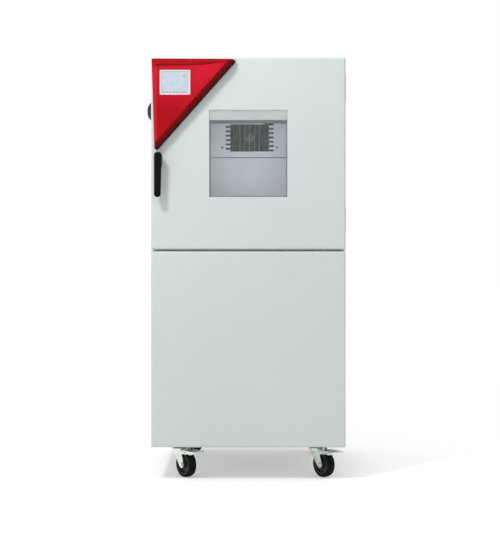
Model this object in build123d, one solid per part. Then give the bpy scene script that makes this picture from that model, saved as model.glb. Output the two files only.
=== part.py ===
from build123d import *
import math
import os

# Floor-standing environmental test chamber of about 60 litres, on four casters.
# Millimetres. The floor is z = 0, the front is -Y, the viewer's right is +X, and
# the origin is under the middle of the machine. Sheet parts are drawn as they are
# folded, and each function makes one piece where it sits in the closed machine.

# Cabinet body
body_width = 740.0
body_depth = 694.0
sheet = 1.5
caster_height = 125.0
skirt_lift = 3.0
lower_front_height = 746.0
door_gap = 7.0
door_height = 729.0
front_edge_radius = 8.0
base_height = 40.0
base_sheet = 3.0
base_lip = 25.0
deck_sheet = 3.0
side_return = 20.0
frame_lap = 14.0
frame_return = 20.0
top_flange = 15.0

# Door
door_depth = 68.0
seal_gap = 12.0
inner_panel_sheet = 2.0
door_return = 15.0
gasket_inner = 430.0
gasket_width = 16.0
gasket_clearance = 0.3

# Reach of the fittings in front of the door and behind the rear panel
handle_reach = 48.0
rear_reach = 18.0

# Chamber
chamber_width = 402.0
chamber_height = 402.0
chamber_depth = 352.0
plenum_depth = 92.0
liner_sheet = 1.5
liner_corner = 5.0
liner_flange = 29.0
mouth_margin = 2.0
foam_back = 70.0
foam_top = 143.5
runner_reach = 10.0
runner_thickness = 4.0
runner_pitch = 80.0
runner_levels = 4
first_runner_height = 16.0

# Air baffle at the back of the chamber
baffle_flange = 15.0
baffle_seam = 3.0
baffle_bottom_height = 200.5
baffle_top_gap = 6.5
intake_width = 158.0
intake_height = 111.5
intake_bottom_height = 224.0
comb_slot_length = 19.0
comb_slot_height = 8.0
comb_pitch = 17.8
comb_left = 6
comb_right = 7
comb_left_first = 11.5
comb_right_first = 4.5
screw_head = 7.0
screw_head_height = 2.5
baffle_screw_x = 113.0
baffle_screw_height = 240.5
guard_wire = 3.5
guard_pitch = 20.0
guard_bars = 5
guard_overlap = 10.0

# Circulation fan and its motor
fan_height = 279.5
fan_radius = 72.0
fan_hub_radius = 20.0
fan_width = 36.0
fan_front_gap = 34.0
fan_blades = 6
fan_shaft = 12.0
shaft_hole = 24.0
motor_radius = 52.0
motor_length = 86.0
motor_plate = 150.0
motor_plate_thickness = 4.0
motor_standoff = 14.0

# Heater, evaporator and probe
heater_radius = 92.0
heater_tube = 8.0
heater_turns = 2
heater_pitch = 22.0
evaporator_width = 340.0
evaporator_height = 150.0
evaporator_depth = 60.0
evaporator_height_above_floor = 30.0
fin_pitch = 10.0
fin_thickness = 0.8
fin_reach = 14.0
coil_tube = 10.0
line_offset = 16.0
line_reach = 12.0
probe_diameter = 6.0
probe_length = 44.0
probe_x = 150.0
probe_drop = 30.0

# Access port through the left wall
port_bore = 50.0
port_sleeve_wall = 2.0
port_flange = 80.0
port_flange_thickness = 3.0
port_height = 369.5
port_setback = 67.0
plug_cap = 75.0
plug_cap_rim = 5.0
plug_dome = 16.0
plug_stem_length = 70.0
plug_stem_taper = 2.0

# Window
window_width = 298.0
window_height = 331.0
window_wall = 2.0
window_flange = 10.0
pane_thickness = 5.0
pane_recess = 2.0
middle_pane_setback = 31.0
lamp_height = 38.0
lamp_shade_height = 12.0
lamp_depth = 24.0
spacer_width = 4.0

# Hinges
hinge_pin = 6.0
hinge_barrel = 11.4
hinge_axis_setback = 6.0
hinge_length = 90.0
hinge_leaf = 40.0
hinge_leaf_thickness = 2.0
knuckle_gap = 0.5
lower_hinge_height = 110.0
upper_hinge_drop = 110.0

# Handle and latch
handle_x = -341.0
handle_width = 28.0
handle_tail_width = 24.0
handle_length = 170.0
handle_thickness = 18.0
handle_top_height = 369.0
handle_end_radius = 11.0
pivot_height = 343.0
pivot_drop = 18.0
pivot_pin = 6.0
ear_radius = 9.0
ear_thickness = 6.0
lug_width = 12.0
mount_height = 58.0
mount_thickness = 6.0
latch_plate = 6.0
latch_height = 16.0
latch_tip_gap = 4.0
latch_travel = 22.0
slot_width = 18.0
strike_bar = 5.0
strike_setback = 6.5
strike_rise = 12.0

# Control housing: a three-cornered shell on the door
housing_left = 367.0
housing_top_drop = 5.0
housing_tip_x = -38.0
housing_tip_drop = 6.5
housing_foot_x = -356.0
housing_foot_drop = 364.0
housing_depth = 44.0
housing_wall = 3.0
housing_draft = 2.5
housing_bevel = 23.0
housing_corner = 9.0
band_height = 30.0
band_groove = 5.0
band_depth = 3.0
bezel_width = 118.0
bezel_height = 97.0
bezel_left = 335.5
bezel_top_drop = 48.0
bezel_recess = 4.0
bezel_thickness = 6.0
screen_margin = 7.0
screen_recess = 1.5

# Casters
caster_x = 266.0
caster_front_setback = 47.0
caster_wheelbase = 570.0
caster_heading = -52.0
caster_plate_length = 100.0
caster_plate_width = 85.0
caster_plate_thickness = 3.5
race_diameter = 62.0
race_height = 8.5
race_gap = 0.5
kingpin = 12.0
kingpin_head = 22.0
kingpin_head_height = 6.0
crown_diameter = 68.0
crown_thickness = 8.5
wheel_diameter = 100.0
tyre_width = 32.0
tyre_thickness = 12.0
tyre_shoulder = 5.0
trail = 40.0
leg_thickness = 3.0
leg_clearance = 3.5
axle = 10.0
axle_head = 17.0
hub_boss = 28.0
pedal_pivot_out = 66.0
pedal_pivot_rise = 49.0
pedal_pin = 6.0
pedal_tip_out = 133.0
pedal_front_out = 54.0
pedal_plate = 2.5
pedal_rise = 5.6
pedal_ear = 2.0
pedal_travel = 15.0
brake_clearance = 0.6
shoe_length = 9.0
shoe_width = 26.0

# Cooling machine in the lower compartment
compressor_x = -170.0
compressor_y = 40.0
compressor_radius = 100.0
compressor_height = 290.0
compressor_foot_height = 22.0
compressor_foot_spacing_x = 180.0
compressor_foot_spacing_y = 150.0
compressor_plate = 3.0
line_radius = 5.0
condenser_x = 165.0
condenser_width = 350.0
condenser_height = 330.0
condenser_depth = 45.0
condenser_stand = 45.0
condenser_rear_gap = 2.0
shroud_depth = 45.0
shroud_wall = 1.5
shroud_ring = 15.0
condenser_fan_radius = 125.0
condenser_fan_hub = 30.0
condenser_fan_width = 30.0
condenser_fan_tip_gap = 7.0
condenser_motor_radius = 45.0
condenser_motor_length = 55.0
condenser_shaft = 8.0
condenser_blades = 5
drier_radius = 15.0
drier_length = 110.0
drier_drop = 160.0
electrical_width = 100.0
electrical_depth = 230.0
electrical_height = 320.0
electrical_bottom = 500.0

# Rear fittings
inlet_x = -250.0
inlet_z = 300.0
inlet_width = 60.0
inlet_height = 110.0
inlet_face = 3.0
inlet_body_depth = 26.0
socket_width = 28.0
socket_height = 20.0
socket_depth = 18.0
inlet_pin_width = 2.0
inlet_pin_height = 5.0
inlet_pin_spacing = 7.0
rocker_width = 16.0
rocker_half_length = 10.5
rocker_rise = 3.5
rocker_body = 4.0
rocker_tilt = 8.0
rocker_side_gap = 0.3
rocker_end_gap = 0.8
rocker_pin = 3.0
drain_x = -60.0
drain_z = 190.0
drain_diameter = 16.0
drain_bore = 10.0
drain_flange = 28.0
drain_flange_thickness = 3.0
grille_slot_length = 95.0
grille_slot_height = 8.0
grille_pitch = 20.0
grille_rows = 15
grille_columns = 3
louvre_length = 150.0
louvre_height = 7.0
louvre_pitch = 24.0
louvre_rows = 6
louvre_hood = 4.0

# Shelf
shelf_front_setback = 52.0
shelf_back_gap = 10.0
shelf_side_gap = 1.0
shelf_frame_wire = 8.0
shelf_wire = 4.0
shelf_wires = 15
shelf_lift = 0.3

# Fits
pin_fit = 0.06
running_gap = 0.3

# Levels and planes that follow from the sizes above
side_x = body_width / 2
side_in = side_x - sheet
panel_bottom_z = caster_height + skirt_lift
lower_top_z = panel_bottom_z + lower_front_height
door_bottom_z = lower_top_z + door_gap
top_z = door_bottom_z + door_height
roof_z = top_z - sheet
deck_top_z = door_bottom_z + 4.0
deck_z = deck_top_z - deck_sheet
frame_bottom_z = lower_top_z - frame_lap
base_top_z = caster_height + base_height

overall_depth = handle_reach + door_depth + seal_gap + body_depth + rear_reach
door_front_y = handle_reach - overall_depth / 2
door_back_y = door_front_y + door_depth
flange_y = door_back_y + seal_gap
frame_back_y = flange_y + sheet
rear_y = flange_y + body_depth
rear_in_y = rear_y - sheet

chamber_z = door_bottom_z + door_height / 2
floor_z = chamber_z - chamber_height / 2
ceiling_z = chamber_z + chamber_height / 2
baffle_y = flange_y + chamber_depth
baffle_back_y = baffle_y + sheet
liner_back_y = baffle_back_y + plenum_depth
foam_back_y = liner_back_y + liner_sheet + foam_back
foam_front_y = frame_back_y + liner_sheet
fan_z = floor_z + fan_height

hinge_y = flange_y - hinge_axis_setback
port_y = flange_y + port_setback
port_z = floor_z + port_height
pivot_y = door_front_y - pivot_drop
pivot_z = door_bottom_z + pivot_height
handle_top_z = door_bottom_z + handle_top_height
latch_tip_y = flange_y - latch_tip_gap
inner_panel_front_y = door_back_y - inner_panel_sheet


def slab(x0, x1, y0, y1, z0, z1):
    """Rectangular block between two corners."""
    return Pos((x0 + x1) / 2, (y0 + y1) / 2, (z0 + z1) / 2) * Box(x1 - x0, y1 - y0, z1 - z0)


def rod(start, end, radius):
    """Round bar from one point to another."""
    run = Vector(*end) - Vector(*start)
    return extrude(Plane(origin=start, z_dir=run) * Circle(radius), amount=run.length)


def facing(sketch, y_front, y_back):
    """Outline drawn in x and z, given a thickness in y."""
    return extrude(Plane.XZ.offset(-y_back) * sketch, amount=y_back - y_front)


def sideways(sketch, x0, x1):
    """Outline drawn in y and z, given a thickness in x."""
    return extrude(Plane.YZ.offset(x0) * sketch, amount=x1 - x0)


def rounded_front(half_width, y_front, y_back, z0, z1, radius):
    """Block with its front edges rounded, as a drawn front panel has."""
    block = slab(-half_width, half_width, y_front, y_back, z0, z1)
    return fillet(block.faces().sort_by(Axis.Y)[0].edges(), radius)


def ring_outline(width, height, margin, corner=0.0):
    """Flat frame, as wide as margin on every side."""
    inner = RectangleRounded(width, height, corner) if corner else Rectangle(width, height)
    return Rectangle(width + 2 * margin, height + 2 * margin) - inner


# Cabinet panels and frame

def base_frame():
    """Welded tray on the casters: floor, upstand and a lip turned inwards."""
    front, back = frame_back_y, rear_in_y
    tray = slab(-side_in, side_in, front, back, caster_height, base_top_z)
    tray -= slab(
        -side_in + base_sheet, side_in - base_sheet, front + base_sheet, back - base_sheet,
        caster_height + base_sheet, base_top_z - base_sheet)
    tray -= slab(
        -side_in + base_lip, side_in - base_lip, front + base_lip, back - base_lip,
        caster_height + base_sheet, base_top_z)
    vents = [
        Pos(x, front + 200.0 + 40.0 * row, caster_height) * extrude(SlotOverall(120, 12), amount=base_sheet)
        for x in (0, 200) for row in range(3)]
    return tray - vents


def side_panel(side):
    """Side sheet with a short return at the front of the machine space and down the back."""
    skin = slab(side_in, side_x, flange_y, rear_in_y, panel_bottom_z, roof_z)
    front = slab(side_in - side_return, side_in, flange_y, frame_back_y, panel_bottom_z, frame_bottom_z)
    back = slab(side_in - side_return, side_in, rear_in_y - sheet, rear_in_y, base_top_z, roof_z)
    panel = skin + front + back
    if side < 0:
        panel = mirror(panel, about=Plane.YZ)
        panel -= rod((-side_x - 1, port_y, port_z), (-side_in + 1, port_y, port_z), port_bore / 2 + port_sleeve_wall)
    return panel


def top_panel():
    """Flat roof sheet with a flange down each side."""
    panel = slab(-side_x, side_x, flange_y, rear_y, roof_z, top_z)
    flange_y0 = frame_back_y + frame_return + 5.0
    for side in (-1, 1):
        outer, inner = side * side_in, side * (side_in - sheet)
        panel += slab(min(outer, inner), max(outer, inner), flange_y0, rear_in_y - 5.0, roof_z - top_flange, roof_z)
    return panel


def rear_panel_upper():
    """Upper back sheet with two columns of slots, each under a turned-out lip."""
    panel = slab(-side_x, side_x, rear_in_y, rear_y, deck_top_z, roof_z)
    lips = []
    slots = Sketch()
    for column in (-1, 1):
        for row in range(louvre_rows):
            x = column * (louvre_length / 2 + 30.0)
            z = chamber_z + louvre_pitch * (row - (louvre_rows - 1) / 2)
            slots += Pos(x, z) * Rectangle(louvre_length, louvre_height)
            lips.append(slab(
                x - louvre_length / 2 - sheet, x + louvre_length / 2 + sheet, rear_y, rear_y + louvre_hood,
                z + louvre_height / 2, z + louvre_height / 2 + sheet))
    return panel + lips - facing(slots, rear_in_y, rear_y)


def rear_panel_lower():
    """Lower back sheet with the condenser's intake grille and the holes for the fittings."""
    panel = slab(-side_x, side_x, rear_in_y, rear_y, panel_bottom_z + 2.0, deck_z)
    grille_z = caster_height + base_sheet + condenser_stand + condenser_height / 2
    slots = Sketch() + [
        Pos(condenser_x + (column - (grille_columns - 1) / 2) * (grille_slot_length + 12.0),
            grille_z + (row - (grille_rows - 1) / 2) * grille_pitch) * SlotOverall(grille_slot_length, grille_slot_height)
        for column in range(grille_columns) for row in range(grille_rows)]
    cut = slots + Pos(inlet_x, inlet_z) * Rectangle(inlet_width - 10.0, inlet_height - 10.0)
    cut += Pos(drain_x, drain_z) * Circle(drain_diameter / 2)
    return panel - facing(cut, rear_in_y, rear_y)


def lower_front_panel():
    """Deep lift-off tray that closes the machine space, flush with the door."""
    tray = rounded_front(side_x, door_front_y, flange_y, panel_bottom_z, lower_top_z, front_edge_radius)
    tray -= rounded_front(
        side_in, door_front_y + sheet, flange_y - sheet,
        panel_bottom_z + sheet, lower_top_z - sheet, front_edge_radius - sheet)
    lip = side_return
    tray -= slab(
        -side_in + lip, side_in - lip, flange_y - sheet, flange_y,
        panel_bottom_z + lip, lower_top_z - lip)
    return tray


def machine_deck():
    """Sheet between the machine space and the insulated box above it."""
    deck = slab(-side_in, side_in, frame_back_y, rear_in_y - sheet, deck_z, deck_top_z)
    return deck - Pos(lines_x, lines_y, deck_z) * Cylinder(lines_hole / 2, 4 * deck_sheet)


def front_frame():
    """Brushed steel face round the chamber mouth, with a return along its outer edge."""
    mouth_w = chamber_width + 2 * mouth_margin
    mouth_h = chamber_height + 2 * mouth_margin
    height = roof_z - frame_bottom_z
    middle_z = (roof_z + frame_bottom_z) / 2
    face = Pos(0, middle_z) * Rectangle(2 * side_in, height)
    face -= Pos(0, chamber_z) * RectangleRounded(mouth_w, mouth_h, liner_corner + mouth_margin)
    frame = facing(face, flange_y, frame_back_y)
    rim_middle = (roof_z + deck_top_z) / 2
    rim = Rectangle(2 * side_in, roof_z - deck_top_z)
    rim -= Rectangle(2 * (side_in - sheet), roof_z - deck_top_z - 2 * sheet)
    return frame + facing(Pos(0, rim_middle) * rim, frame_back_y, frame_back_y + frame_return)


# Chamber

def liner_block(width, height, corner, y_front, y_back):
    """Rounded box on the chamber's axis, used for the liner and the room that it takes."""
    return facing(Pos(0, chamber_z) * RectangleRounded(width, height, corner), y_front, y_back)


def liner_outer():
    """The liner's outside, with its front flange."""
    wall = 2 * liner_sheet
    body = liner_block(
        chamber_width + wall, chamber_height + wall, liner_corner + liner_sheet,
        frame_back_y, liner_back_y + liner_sheet)
    span_w = chamber_width + 2 * liner_flange
    span_h = chamber_height + 2 * liner_flange
    return body + facing(Pos(0, chamber_z) * Rectangle(span_w, span_h), frame_back_y, foam_front_y)


def chamber_liner():
    """Welded stainless box, open at the front, with shelf runners on its side walls."""
    liner = liner_outer() - liner_block(chamber_width, chamber_height, liner_corner, frame_back_y, liner_back_y)
    runner_front = flange_y + 22.0
    runner_back = baffle_y - 12.0
    for level in range(runner_levels):
        z = floor_z + first_runner_height + level * runner_pitch
        for side in (-1, 1):
            wall_x, nose_x = side * chamber_width / 2, side * (chamber_width / 2 - runner_reach)
            runner = slab(
                min(wall_x, nose_x), max(wall_x, nose_x), runner_front, runner_back,
                z - runner_thickness, z)
            liner += runner
    liner -= rod((0, liner_back_y, fan_z), (0, liner_back_y + liner_sheet, fan_z), shaft_hole / 2)
    liner -= port_room()
    return liner - [
        rod((x, liner_back_y, z), (x, liner_back_y + liner_sheet, z), line_hole / 2)
        for x, z in evaporator_ports()]


def port_room():
    """Round hole for the access port sleeve, from the chamber to the outside."""
    return rod(
        (-side_x, port_y, port_z), (-chamber_width / 2 + liner_sheet, port_y, port_z),
        port_bore / 2 + port_sleeve_wall)


def chamber_insulation():
    """Foamed block round the liner, between the deck and the roof space."""
    inset = side_in - sheet
    foam = slab(-inset, inset, foam_front_y, foam_back_y, deck_top_z, ceiling_z + foam_top)
    foam -= slab(-inset, inset, foam_front_y, frame_back_y + frame_return, deck_top_z, deck_top_z + sheet)
    foam -= [liner_outer(), port_room()]
    foam -= rod((0, liner_back_y, fan_z), (0, foam_back_y, fan_z), shaft_hole / 2)
    return foam - [rod((x, liner_back_y, z), (x, foam_back_y, z), line_hole / 2) for x, z in evaporator_ports()]


def air_baffle():
    """Upper rear wall with the combed air intake in front of the fan."""
    bottom_z = floor_z + baffle_bottom_height
    top = ceiling_z - baffle_top_gap
    half = chamber_width / 2
    panel = slab(-half, half, baffle_y, baffle_back_y, bottom_z, top)
    panel += slab(-half, -half + sheet, baffle_back_y, baffle_back_y + baffle_flange, bottom_z, top)
    panel += slab(half - sheet, half, baffle_back_y, baffle_back_y + baffle_flange, bottom_z, top)
    panel += slab(-half, half, baffle_back_y, baffle_back_y + baffle_flange, bottom_z, bottom_z + sheet)
    intake_z = floor_z + intake_bottom_height
    comb = Pos(0, intake_z + intake_height / 2) * Rectangle(intake_width, intake_height)
    for side, count, first in ((-1, comb_left, comb_left_first), (1, comb_right, comb_right_first)):
        for tooth in range(count):
            slot = Rectangle(2 * comb_slot_length, comb_slot_height)
            comb += Pos(side * intake_width / 2, intake_z + first + tooth * comb_pitch) * slot
    panel -= facing(comb, baffle_y, baffle_back_y)
    screw_z = floor_z + baffle_screw_height
    for side in (-1, 1):
        x = side * baffle_screw_x
        head = rod((x, baffle_y, screw_z), (x, baffle_y - screw_head_height, screw_z), screw_head / 2)
        head = fillet(head.edges().sort_by(Axis.Y)[0], 1.2)
        head -= slab(x - 0.6, x + 0.6, baffle_y - screw_head_height, baffle_y - 1.2, screw_z - 4, screw_z + 4)
        panel += head
    return panel


def rear_wall_sheet():
    """Lower rear wall in front of the evaporator, raised off the floor for the return air."""
    half = chamber_width / 2
    z0 = floor_z + liner_corner
    z1 = floor_z + baffle_bottom_height - baffle_seam
    panel = slab(-half, half, baffle_y, baffle_back_y, z0, z1)
    for side in (-1, 1):
        outer, inner = side * half, side * (half - sheet)
        panel += slab(min(outer, inner), max(outer, inner), baffle_back_y, baffle_back_y + baffle_flange, z0, z1)
    returns = Sketch() + [Pos(x, z0 + 18.0) * SlotOverall(44, 9) for x in (-150, -90, -30, 30, 90, 150)]
    return panel - facing(returns, baffle_y, baffle_back_y)


def fan_guard():
    """Welded wire guard behind the intake, held by two flat straps."""
    z0 = floor_z + intake_bottom_height - guard_overlap
    z1 = z0 + intake_height + 2 * guard_overlap
    wire_y = baffle_back_y + 1.5 + guard_wire / 2
    guard = Part()
    for bar in range(guard_bars):
        x = (bar - (guard_bars - 1) / 2) * guard_pitch
        guard += rod((x, wire_y, z0 - 3), (x, wire_y, z1 + 3), guard_wire / 2)
    reach = guard_pitch * guard_bars / 2
    for z in (z0, z1):
        guard += slab(-reach, reach, baffle_back_y, baffle_back_y + 2.5, z - 4, z + 4)
    return guard


def fin_block(width, height, depth, end_overhang):
    """Finned coil block round its own centre: a core with thin fins and two end plates."""
    core = Box(width, depth - 2 * fin_reach, height)
    count = int(width / fin_pitch) - 1
    fins = [
        Pos((fin - (count - 1) / 2) * fin_pitch, 0, 0) * Box(fin_thickness, depth, height)
        for fin in range(count)]
    ends = [Pos(side * width / 2, 0, 0) * Box(sheet, depth, height + 2 * end_overhang) for side in (-1, 1)]
    return core + fins + ends


def coil_bends(x_end, side, y, z_first, z_pitch, count):
    """Return bends that join the tubes at one end of a coil block."""
    bends = []
    for bend in range(count):
        z = z_first + bend * 2 * z_pitch
        arc = Plane(origin=(x_end, y, z + z_pitch / 2), x_dir=(0, 0, 1), z_dir=(0, 1, 0))
        path = arc * CenterArc((0, 0), z_pitch / 2, 0 if side > 0 else 180, 180)
        start = path @ 0
        bends.append(sweep(Plane(origin=start, z_dir=path % 0) * Circle(coil_tube / 2), path=path))
    return bends


def evaporator_centre():
    """Middle of the evaporator, seated on the liner's back wall."""
    y = liner_back_y - evaporator_depth / 2 - 8.0
    return (0, y, floor_z + evaporator_height_above_floor + evaporator_height / 2)


def evaporator_ports():
    """Where the evaporator's two lines leave through the back wall, in x and z."""
    x, z = evaporator_width / 2 + line_offset, evaporator_centre()[2]
    return [(x, z - 40.0), (x, z + 40.0)]


def evaporator_coil():
    """Finned evaporator with brackets to the back wall, return bends and two tails."""
    x, y, z = evaporator_centre()
    coil = Pos(x, y, z) * fin_block(evaporator_width, evaporator_height, evaporator_depth, 0.0)
    half = evaporator_width / 2
    for side in (-1, 1):
        outer = side * half
        coil += slab(
            min(outer, outer - side * 24), max(outer, outer - side * 24), y + evaporator_depth / 2 - fin_reach,
            liner_back_y, z + evaporator_height / 2 - sheet, z + evaporator_height / 2)
        coil += slab(
            min(outer, outer - side * 24), max(outer, outer - side * 24), y + evaporator_depth / 2 - fin_reach,
            liner_back_y, z - evaporator_height / 2, z - evaporator_height / 2 + sheet)
    coil += coil_bends(-half, -1, y, z - 60.0, 24.0, 3)
    for port_x, port_z in evaporator_ports():
        coil += tube(
            [(half, y, port_z), (port_x, y, port_z), (port_x, foam_back_y + line_reach, port_z)],
            coil_tube / 2, line_offset - 2.0)
    return coil


def heater_coil():
    """Tubular heater wound round the fan, on three straps from the back wall."""
    first_y = baffle_back_y + fan_front_gap
    coil = Part()
    for turn in range(heater_turns):
        y = first_y + turn * heater_pitch
        coil += Pos(0, y, fan_z) * Rot(90, 0, 0) * Torus(heater_radius, heater_tube / 2)
    for angle in (60, 120, 270):
        x = heater_radius * math.cos(math.radians(angle))
        z = fan_z + heater_radius * math.sin(math.radians(angle))
        coil += slab(x - 5, x + 5, first_y - heater_tube, liner_back_y, z - 1.0, z + 1.0)
    return coil


def temperature_probe():
    """Sheathed sensor on a clip, reaching into the air stream from the baffle."""
    z = ceiling_z - probe_drop
    clip = slab(probe_x - 8, probe_x + 8, baffle_y - 1.5, baffle_y, z - 8, z + 8)
    sheath = rod((probe_x, baffle_y - 1.5, z), (probe_x, baffle_y - probe_length, z), probe_diameter / 2)
    return clip + fillet(sheath.edges().sort_by(Axis.Y)[0], probe_diameter / 2 - 0.4)


def bladed_fan(hub_radius, tip_radius, width, blades, root_pitch, tip_pitch, thickness):
    """Axial fan round the Y axis, with twisted blades on a hub, centred on the origin."""
    fan = Rot(90, 0, 0) * Cylinder(hub_radius, width)
    fan = fillet(fan.edges().filter_by(GeomType.CIRCLE), 3)
    root_chord = 0.9 * width / math.sin(math.radians(root_pitch))
    tip_chord = 0.9 * width / math.sin(math.radians(tip_pitch))
    root = Plane(origin=(hub_radius - 4, 0, 0), z_dir=(1, 0, 0)) * Rot(0, 0, 90 - root_pitch)
    tip = Plane(origin=(tip_radius, 0, 0), z_dir=(1, 0, 0)) * Rot(0, 0, 90 - tip_pitch)
    blade = loft([root * Rectangle(thickness, root_chord), tip * Rectangle(thickness, tip_chord)])
    blade &= Rot(90, 0, 0) * Cylinder(tip_radius - 1.0, width)
    return fan + [Rot(0, 360.0 / blades * n, 0) * blade for n in range(blades)]


def chamber_fan():
    """Circulation fan on its shaft, which runs back into the motor."""
    y = baffle_back_y + fan_front_gap + fan_width / 2
    fan = Pos(0, y, fan_z) * bladed_fan(fan_hub_radius, fan_radius, fan_width, fan_blades, 50, 32, 1.6)
    shaft = rod((0, y, fan_z), (0, foam_back_y + motor_plate_thickness + motor_standoff + 40.0, fan_z), fan_shaft / 2)
    return fan + shaft


def chamber_fan_motor():
    """Flanged motor on a plate that is bolted to the back of the insulated box."""
    y0 = foam_back_y
    y1 = y0 + motor_plate_thickness
    y2 = y1 + motor_standoff
    y3 = y2 + motor_length
    half = motor_plate / 2
    motor = slab(-half, half, y0, y1, fan_z - half, fan_z + half)
    for sx in (-1, 1):
        for sz in (-1, 1):
            x, z = sx * motor_radius * 0.72, fan_z + sz * motor_radius * 0.72
            motor += rod((x, y1, z), (x, y2, z), 6.0)
    body = rod((0, y2, fan_z), (0, y3, fan_z), motor_radius)
    body = fillet(body.edges().filter_by(GeomType.CIRCLE), 4)
    for rib in range(5):
        y = y2 + 20.0 + rib * 11.0
        groove = rod((0, y, fan_z), (0, y + 4.0, fan_z), motor_radius + 1)
        groove -= rod((0, y, fan_z), (0, y + 4.0, fan_z), motor_radius - 4)
        body -= groove
    motor += body
    bore = rod((0, y0, fan_z), (0, y2 + 45.0, fan_z), fan_shaft / 2 + pin_fit)
    return motor - bore


def access_port_sleeve():
    """Flanged tube through the left wall, with its flange on the outside."""
    radius = port_bore / 2
    outer = radius + port_sleeve_wall
    face_x = -side_x - port_flange_thickness
    sleeve = rod((face_x, port_y, port_z), (-chamber_width / 2 + liner_sheet, port_y, port_z), outer)
    flange = rod((face_x, port_y, port_z), (-side_x, port_y, port_z), port_flange / 2)
    flange = chamfer(flange.edges().sort_by(Axis.X)[0], 1.0)
    return sleeve + flange - rod((face_x - 1, port_y, port_z), (-chamber_width / 2 + 5, port_y, port_z), radius)


def port_plug():
    """Soft plug: a domed cap over the flange and a tapered stem in the bore."""
    cap_x = -side_x - port_flange_thickness - running_gap
    stem = port_bore / 2 - running_gap
    profile = Polyline(
        (stem - plug_stem_taper, 0), (0, 0), (0, plug_stem_length + plug_cap_rim + plug_dome))
    dome = ThreePointArc(
        (0, plug_stem_length + plug_cap_rim + plug_dome),
        (plug_cap / 2 * 0.72, plug_stem_length + plug_cap_rim + plug_dome * 0.62),
        (plug_cap / 2, plug_stem_length + plug_cap_rim))
    rest = Polyline(
        (plug_cap / 2, plug_stem_length + plug_cap_rim), (plug_cap / 2, plug_stem_length),
        (stem, plug_stem_length), (stem - plug_stem_taper, 0))
    solid = revolve(make_face([*profile.edges(), dome, *rest.edges()]), Axis.Y)
    return Pos(cap_x + plug_stem_length, port_y, port_z) * Rot(0, 0, 90) * solid


# Door

def door_shell():
    """Deep-drawn outer skin with the window cut-out and the latch slot."""
    skin = rounded_front(side_x, door_front_y, door_back_y, door_bottom_z, top_z, front_edge_radius)
    skin -= rounded_front(
        side_in, door_front_y + sheet, door_back_y,
        door_bottom_z + sheet, top_z - sheet, front_edge_radius - sheet)
    window = Pos(0, chamber_z) * Rectangle(window_width + 2 * window_wall, window_height + 2 * window_wall)
    skin -= facing(window, door_front_y, door_front_y + sheet)
    return skin - latch_slot(door_front_y, door_front_y + sheet)


def latch_slot(y_front, y_back):
    """Room for the latch arm between two planes, as tall as the arm sweeps there."""
    reach = y_back - pivot_y
    angle = math.radians(latch_travel + 2.0)
    low = reach * math.tan(angle) + latch_height / 2 / math.cos(angle)
    z0, z1 = pivot_z - low - 2.0, pivot_z + latch_height / 2 + 2.0
    return slab(handle_x - slot_width / 2, handle_x + slot_width / 2, y_front, y_back, z0, z1)


def window_room():
    """Straight hole for the window frame through the door."""
    outline = Pos(0, chamber_z) * Rectangle(window_width + 2 * window_wall, window_height + 2 * window_wall)
    return facing(outline, door_front_y, door_back_y)


def door_inner_panel():
    """Stainless inner skin that the gasket and the window frame lie on."""
    height = door_height - 2 * sheet
    outline = Pos(0, chamber_z) * Rectangle(2 * side_in, height)
    panel = facing(outline, inner_panel_front_y, door_back_y)
    return panel - [window_room(), latch_slot(inner_panel_front_y, door_back_y)]


def door_insulation():
    """Foam filling between the two skins."""
    foam = rounded_front(
        side_in, door_front_y + sheet, inner_panel_front_y,
        door_bottom_z + sheet, top_z - sheet, front_edge_radius - sheet)
    return foam - [window_room(), latch_slot(door_front_y + sheet, inner_panel_front_y)]


def window_frame():
    """Sleeve through the door with a flange on the inner skin."""
    sleeve = ring_outline(window_width, window_height, window_wall)
    flange = ring_outline(window_width, window_height, window_wall + window_flange)
    frame = facing(Pos(0, chamber_z) * sleeve, door_front_y, door_back_y)
    return frame + facing(Pos(0, chamber_z) * flange, door_back_y, door_back_y + inner_panel_sheet)


def pane(y_front, thickness):
    """One sheet of glass, held between the window frame's walls."""
    return facing(Pos(0, chamber_z) * Rectangle(window_width, window_height), y_front, y_front + thickness)


def outer_pane():
    """Outermost glass, a little behind the door's face."""
    return pane(door_front_y + pane_recess, pane_thickness)


def inner_pane():
    """Two inner panes that close the insulating gaps."""
    middle = pane(door_front_y + middle_pane_setback, pane_thickness - 1.0)
    inner = pane(door_back_y - pane_thickness - 3.0, pane_thickness)
    return Compound([middle, inner])


def lamp_bottom_z():
    """Lower edge of the lamp strip."""
    return chamber_z + window_height / 2 - lamp_height


def window_lamp():
    """Lamp bar along the top of the window, with ribs at its back."""
    half = window_width / 2
    y0 = door_front_y + pane_recess + pane_thickness
    bar = slab(-half, half, y0, y0 + lamp_depth, lamp_bottom_z(), lamp_bottom_z() + lamp_height)
    ribs = [
        slab(x - 2, x + 2, y0 + lamp_depth - 6, y0 + lamp_depth, lamp_bottom_z() + 4, lamp_bottom_z() + lamp_height - 4)
        for x in range(-130, 131, 20)]
    return bar - ribs


def window_seal():
    """Black shade under the lamp and the spacers along the panes' edges."""
    y0 = door_front_y + pane_recess + pane_thickness
    y1 = y0 + lamp_depth
    half = window_width / 2
    shade = slab(-half, half, y0, y1, lamp_bottom_z() - lamp_shade_height, lamp_bottom_z())
    bottom = chamber_z - window_height / 2
    front = slab(-half, half, y0, y1, bottom, bottom + spacer_width)
    for side in (-1, 1):
        outer, inner = side * half, side * (half - spacer_width)
        front += slab(min(outer, inner), max(outer, inner), y0, y1, bottom, lamp_bottom_z())
    middle_back = door_front_y + middle_pane_setback + pane_thickness - 1.0
    ring = ring_outline(window_width - 2 * spacer_width, window_height - 2 * spacer_width, spacer_width)
    back = facing(Pos(0, chamber_z) * ring, middle_back, door_back_y - pane_thickness - 3.0)
    return Compound([front + shade, back])


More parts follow.
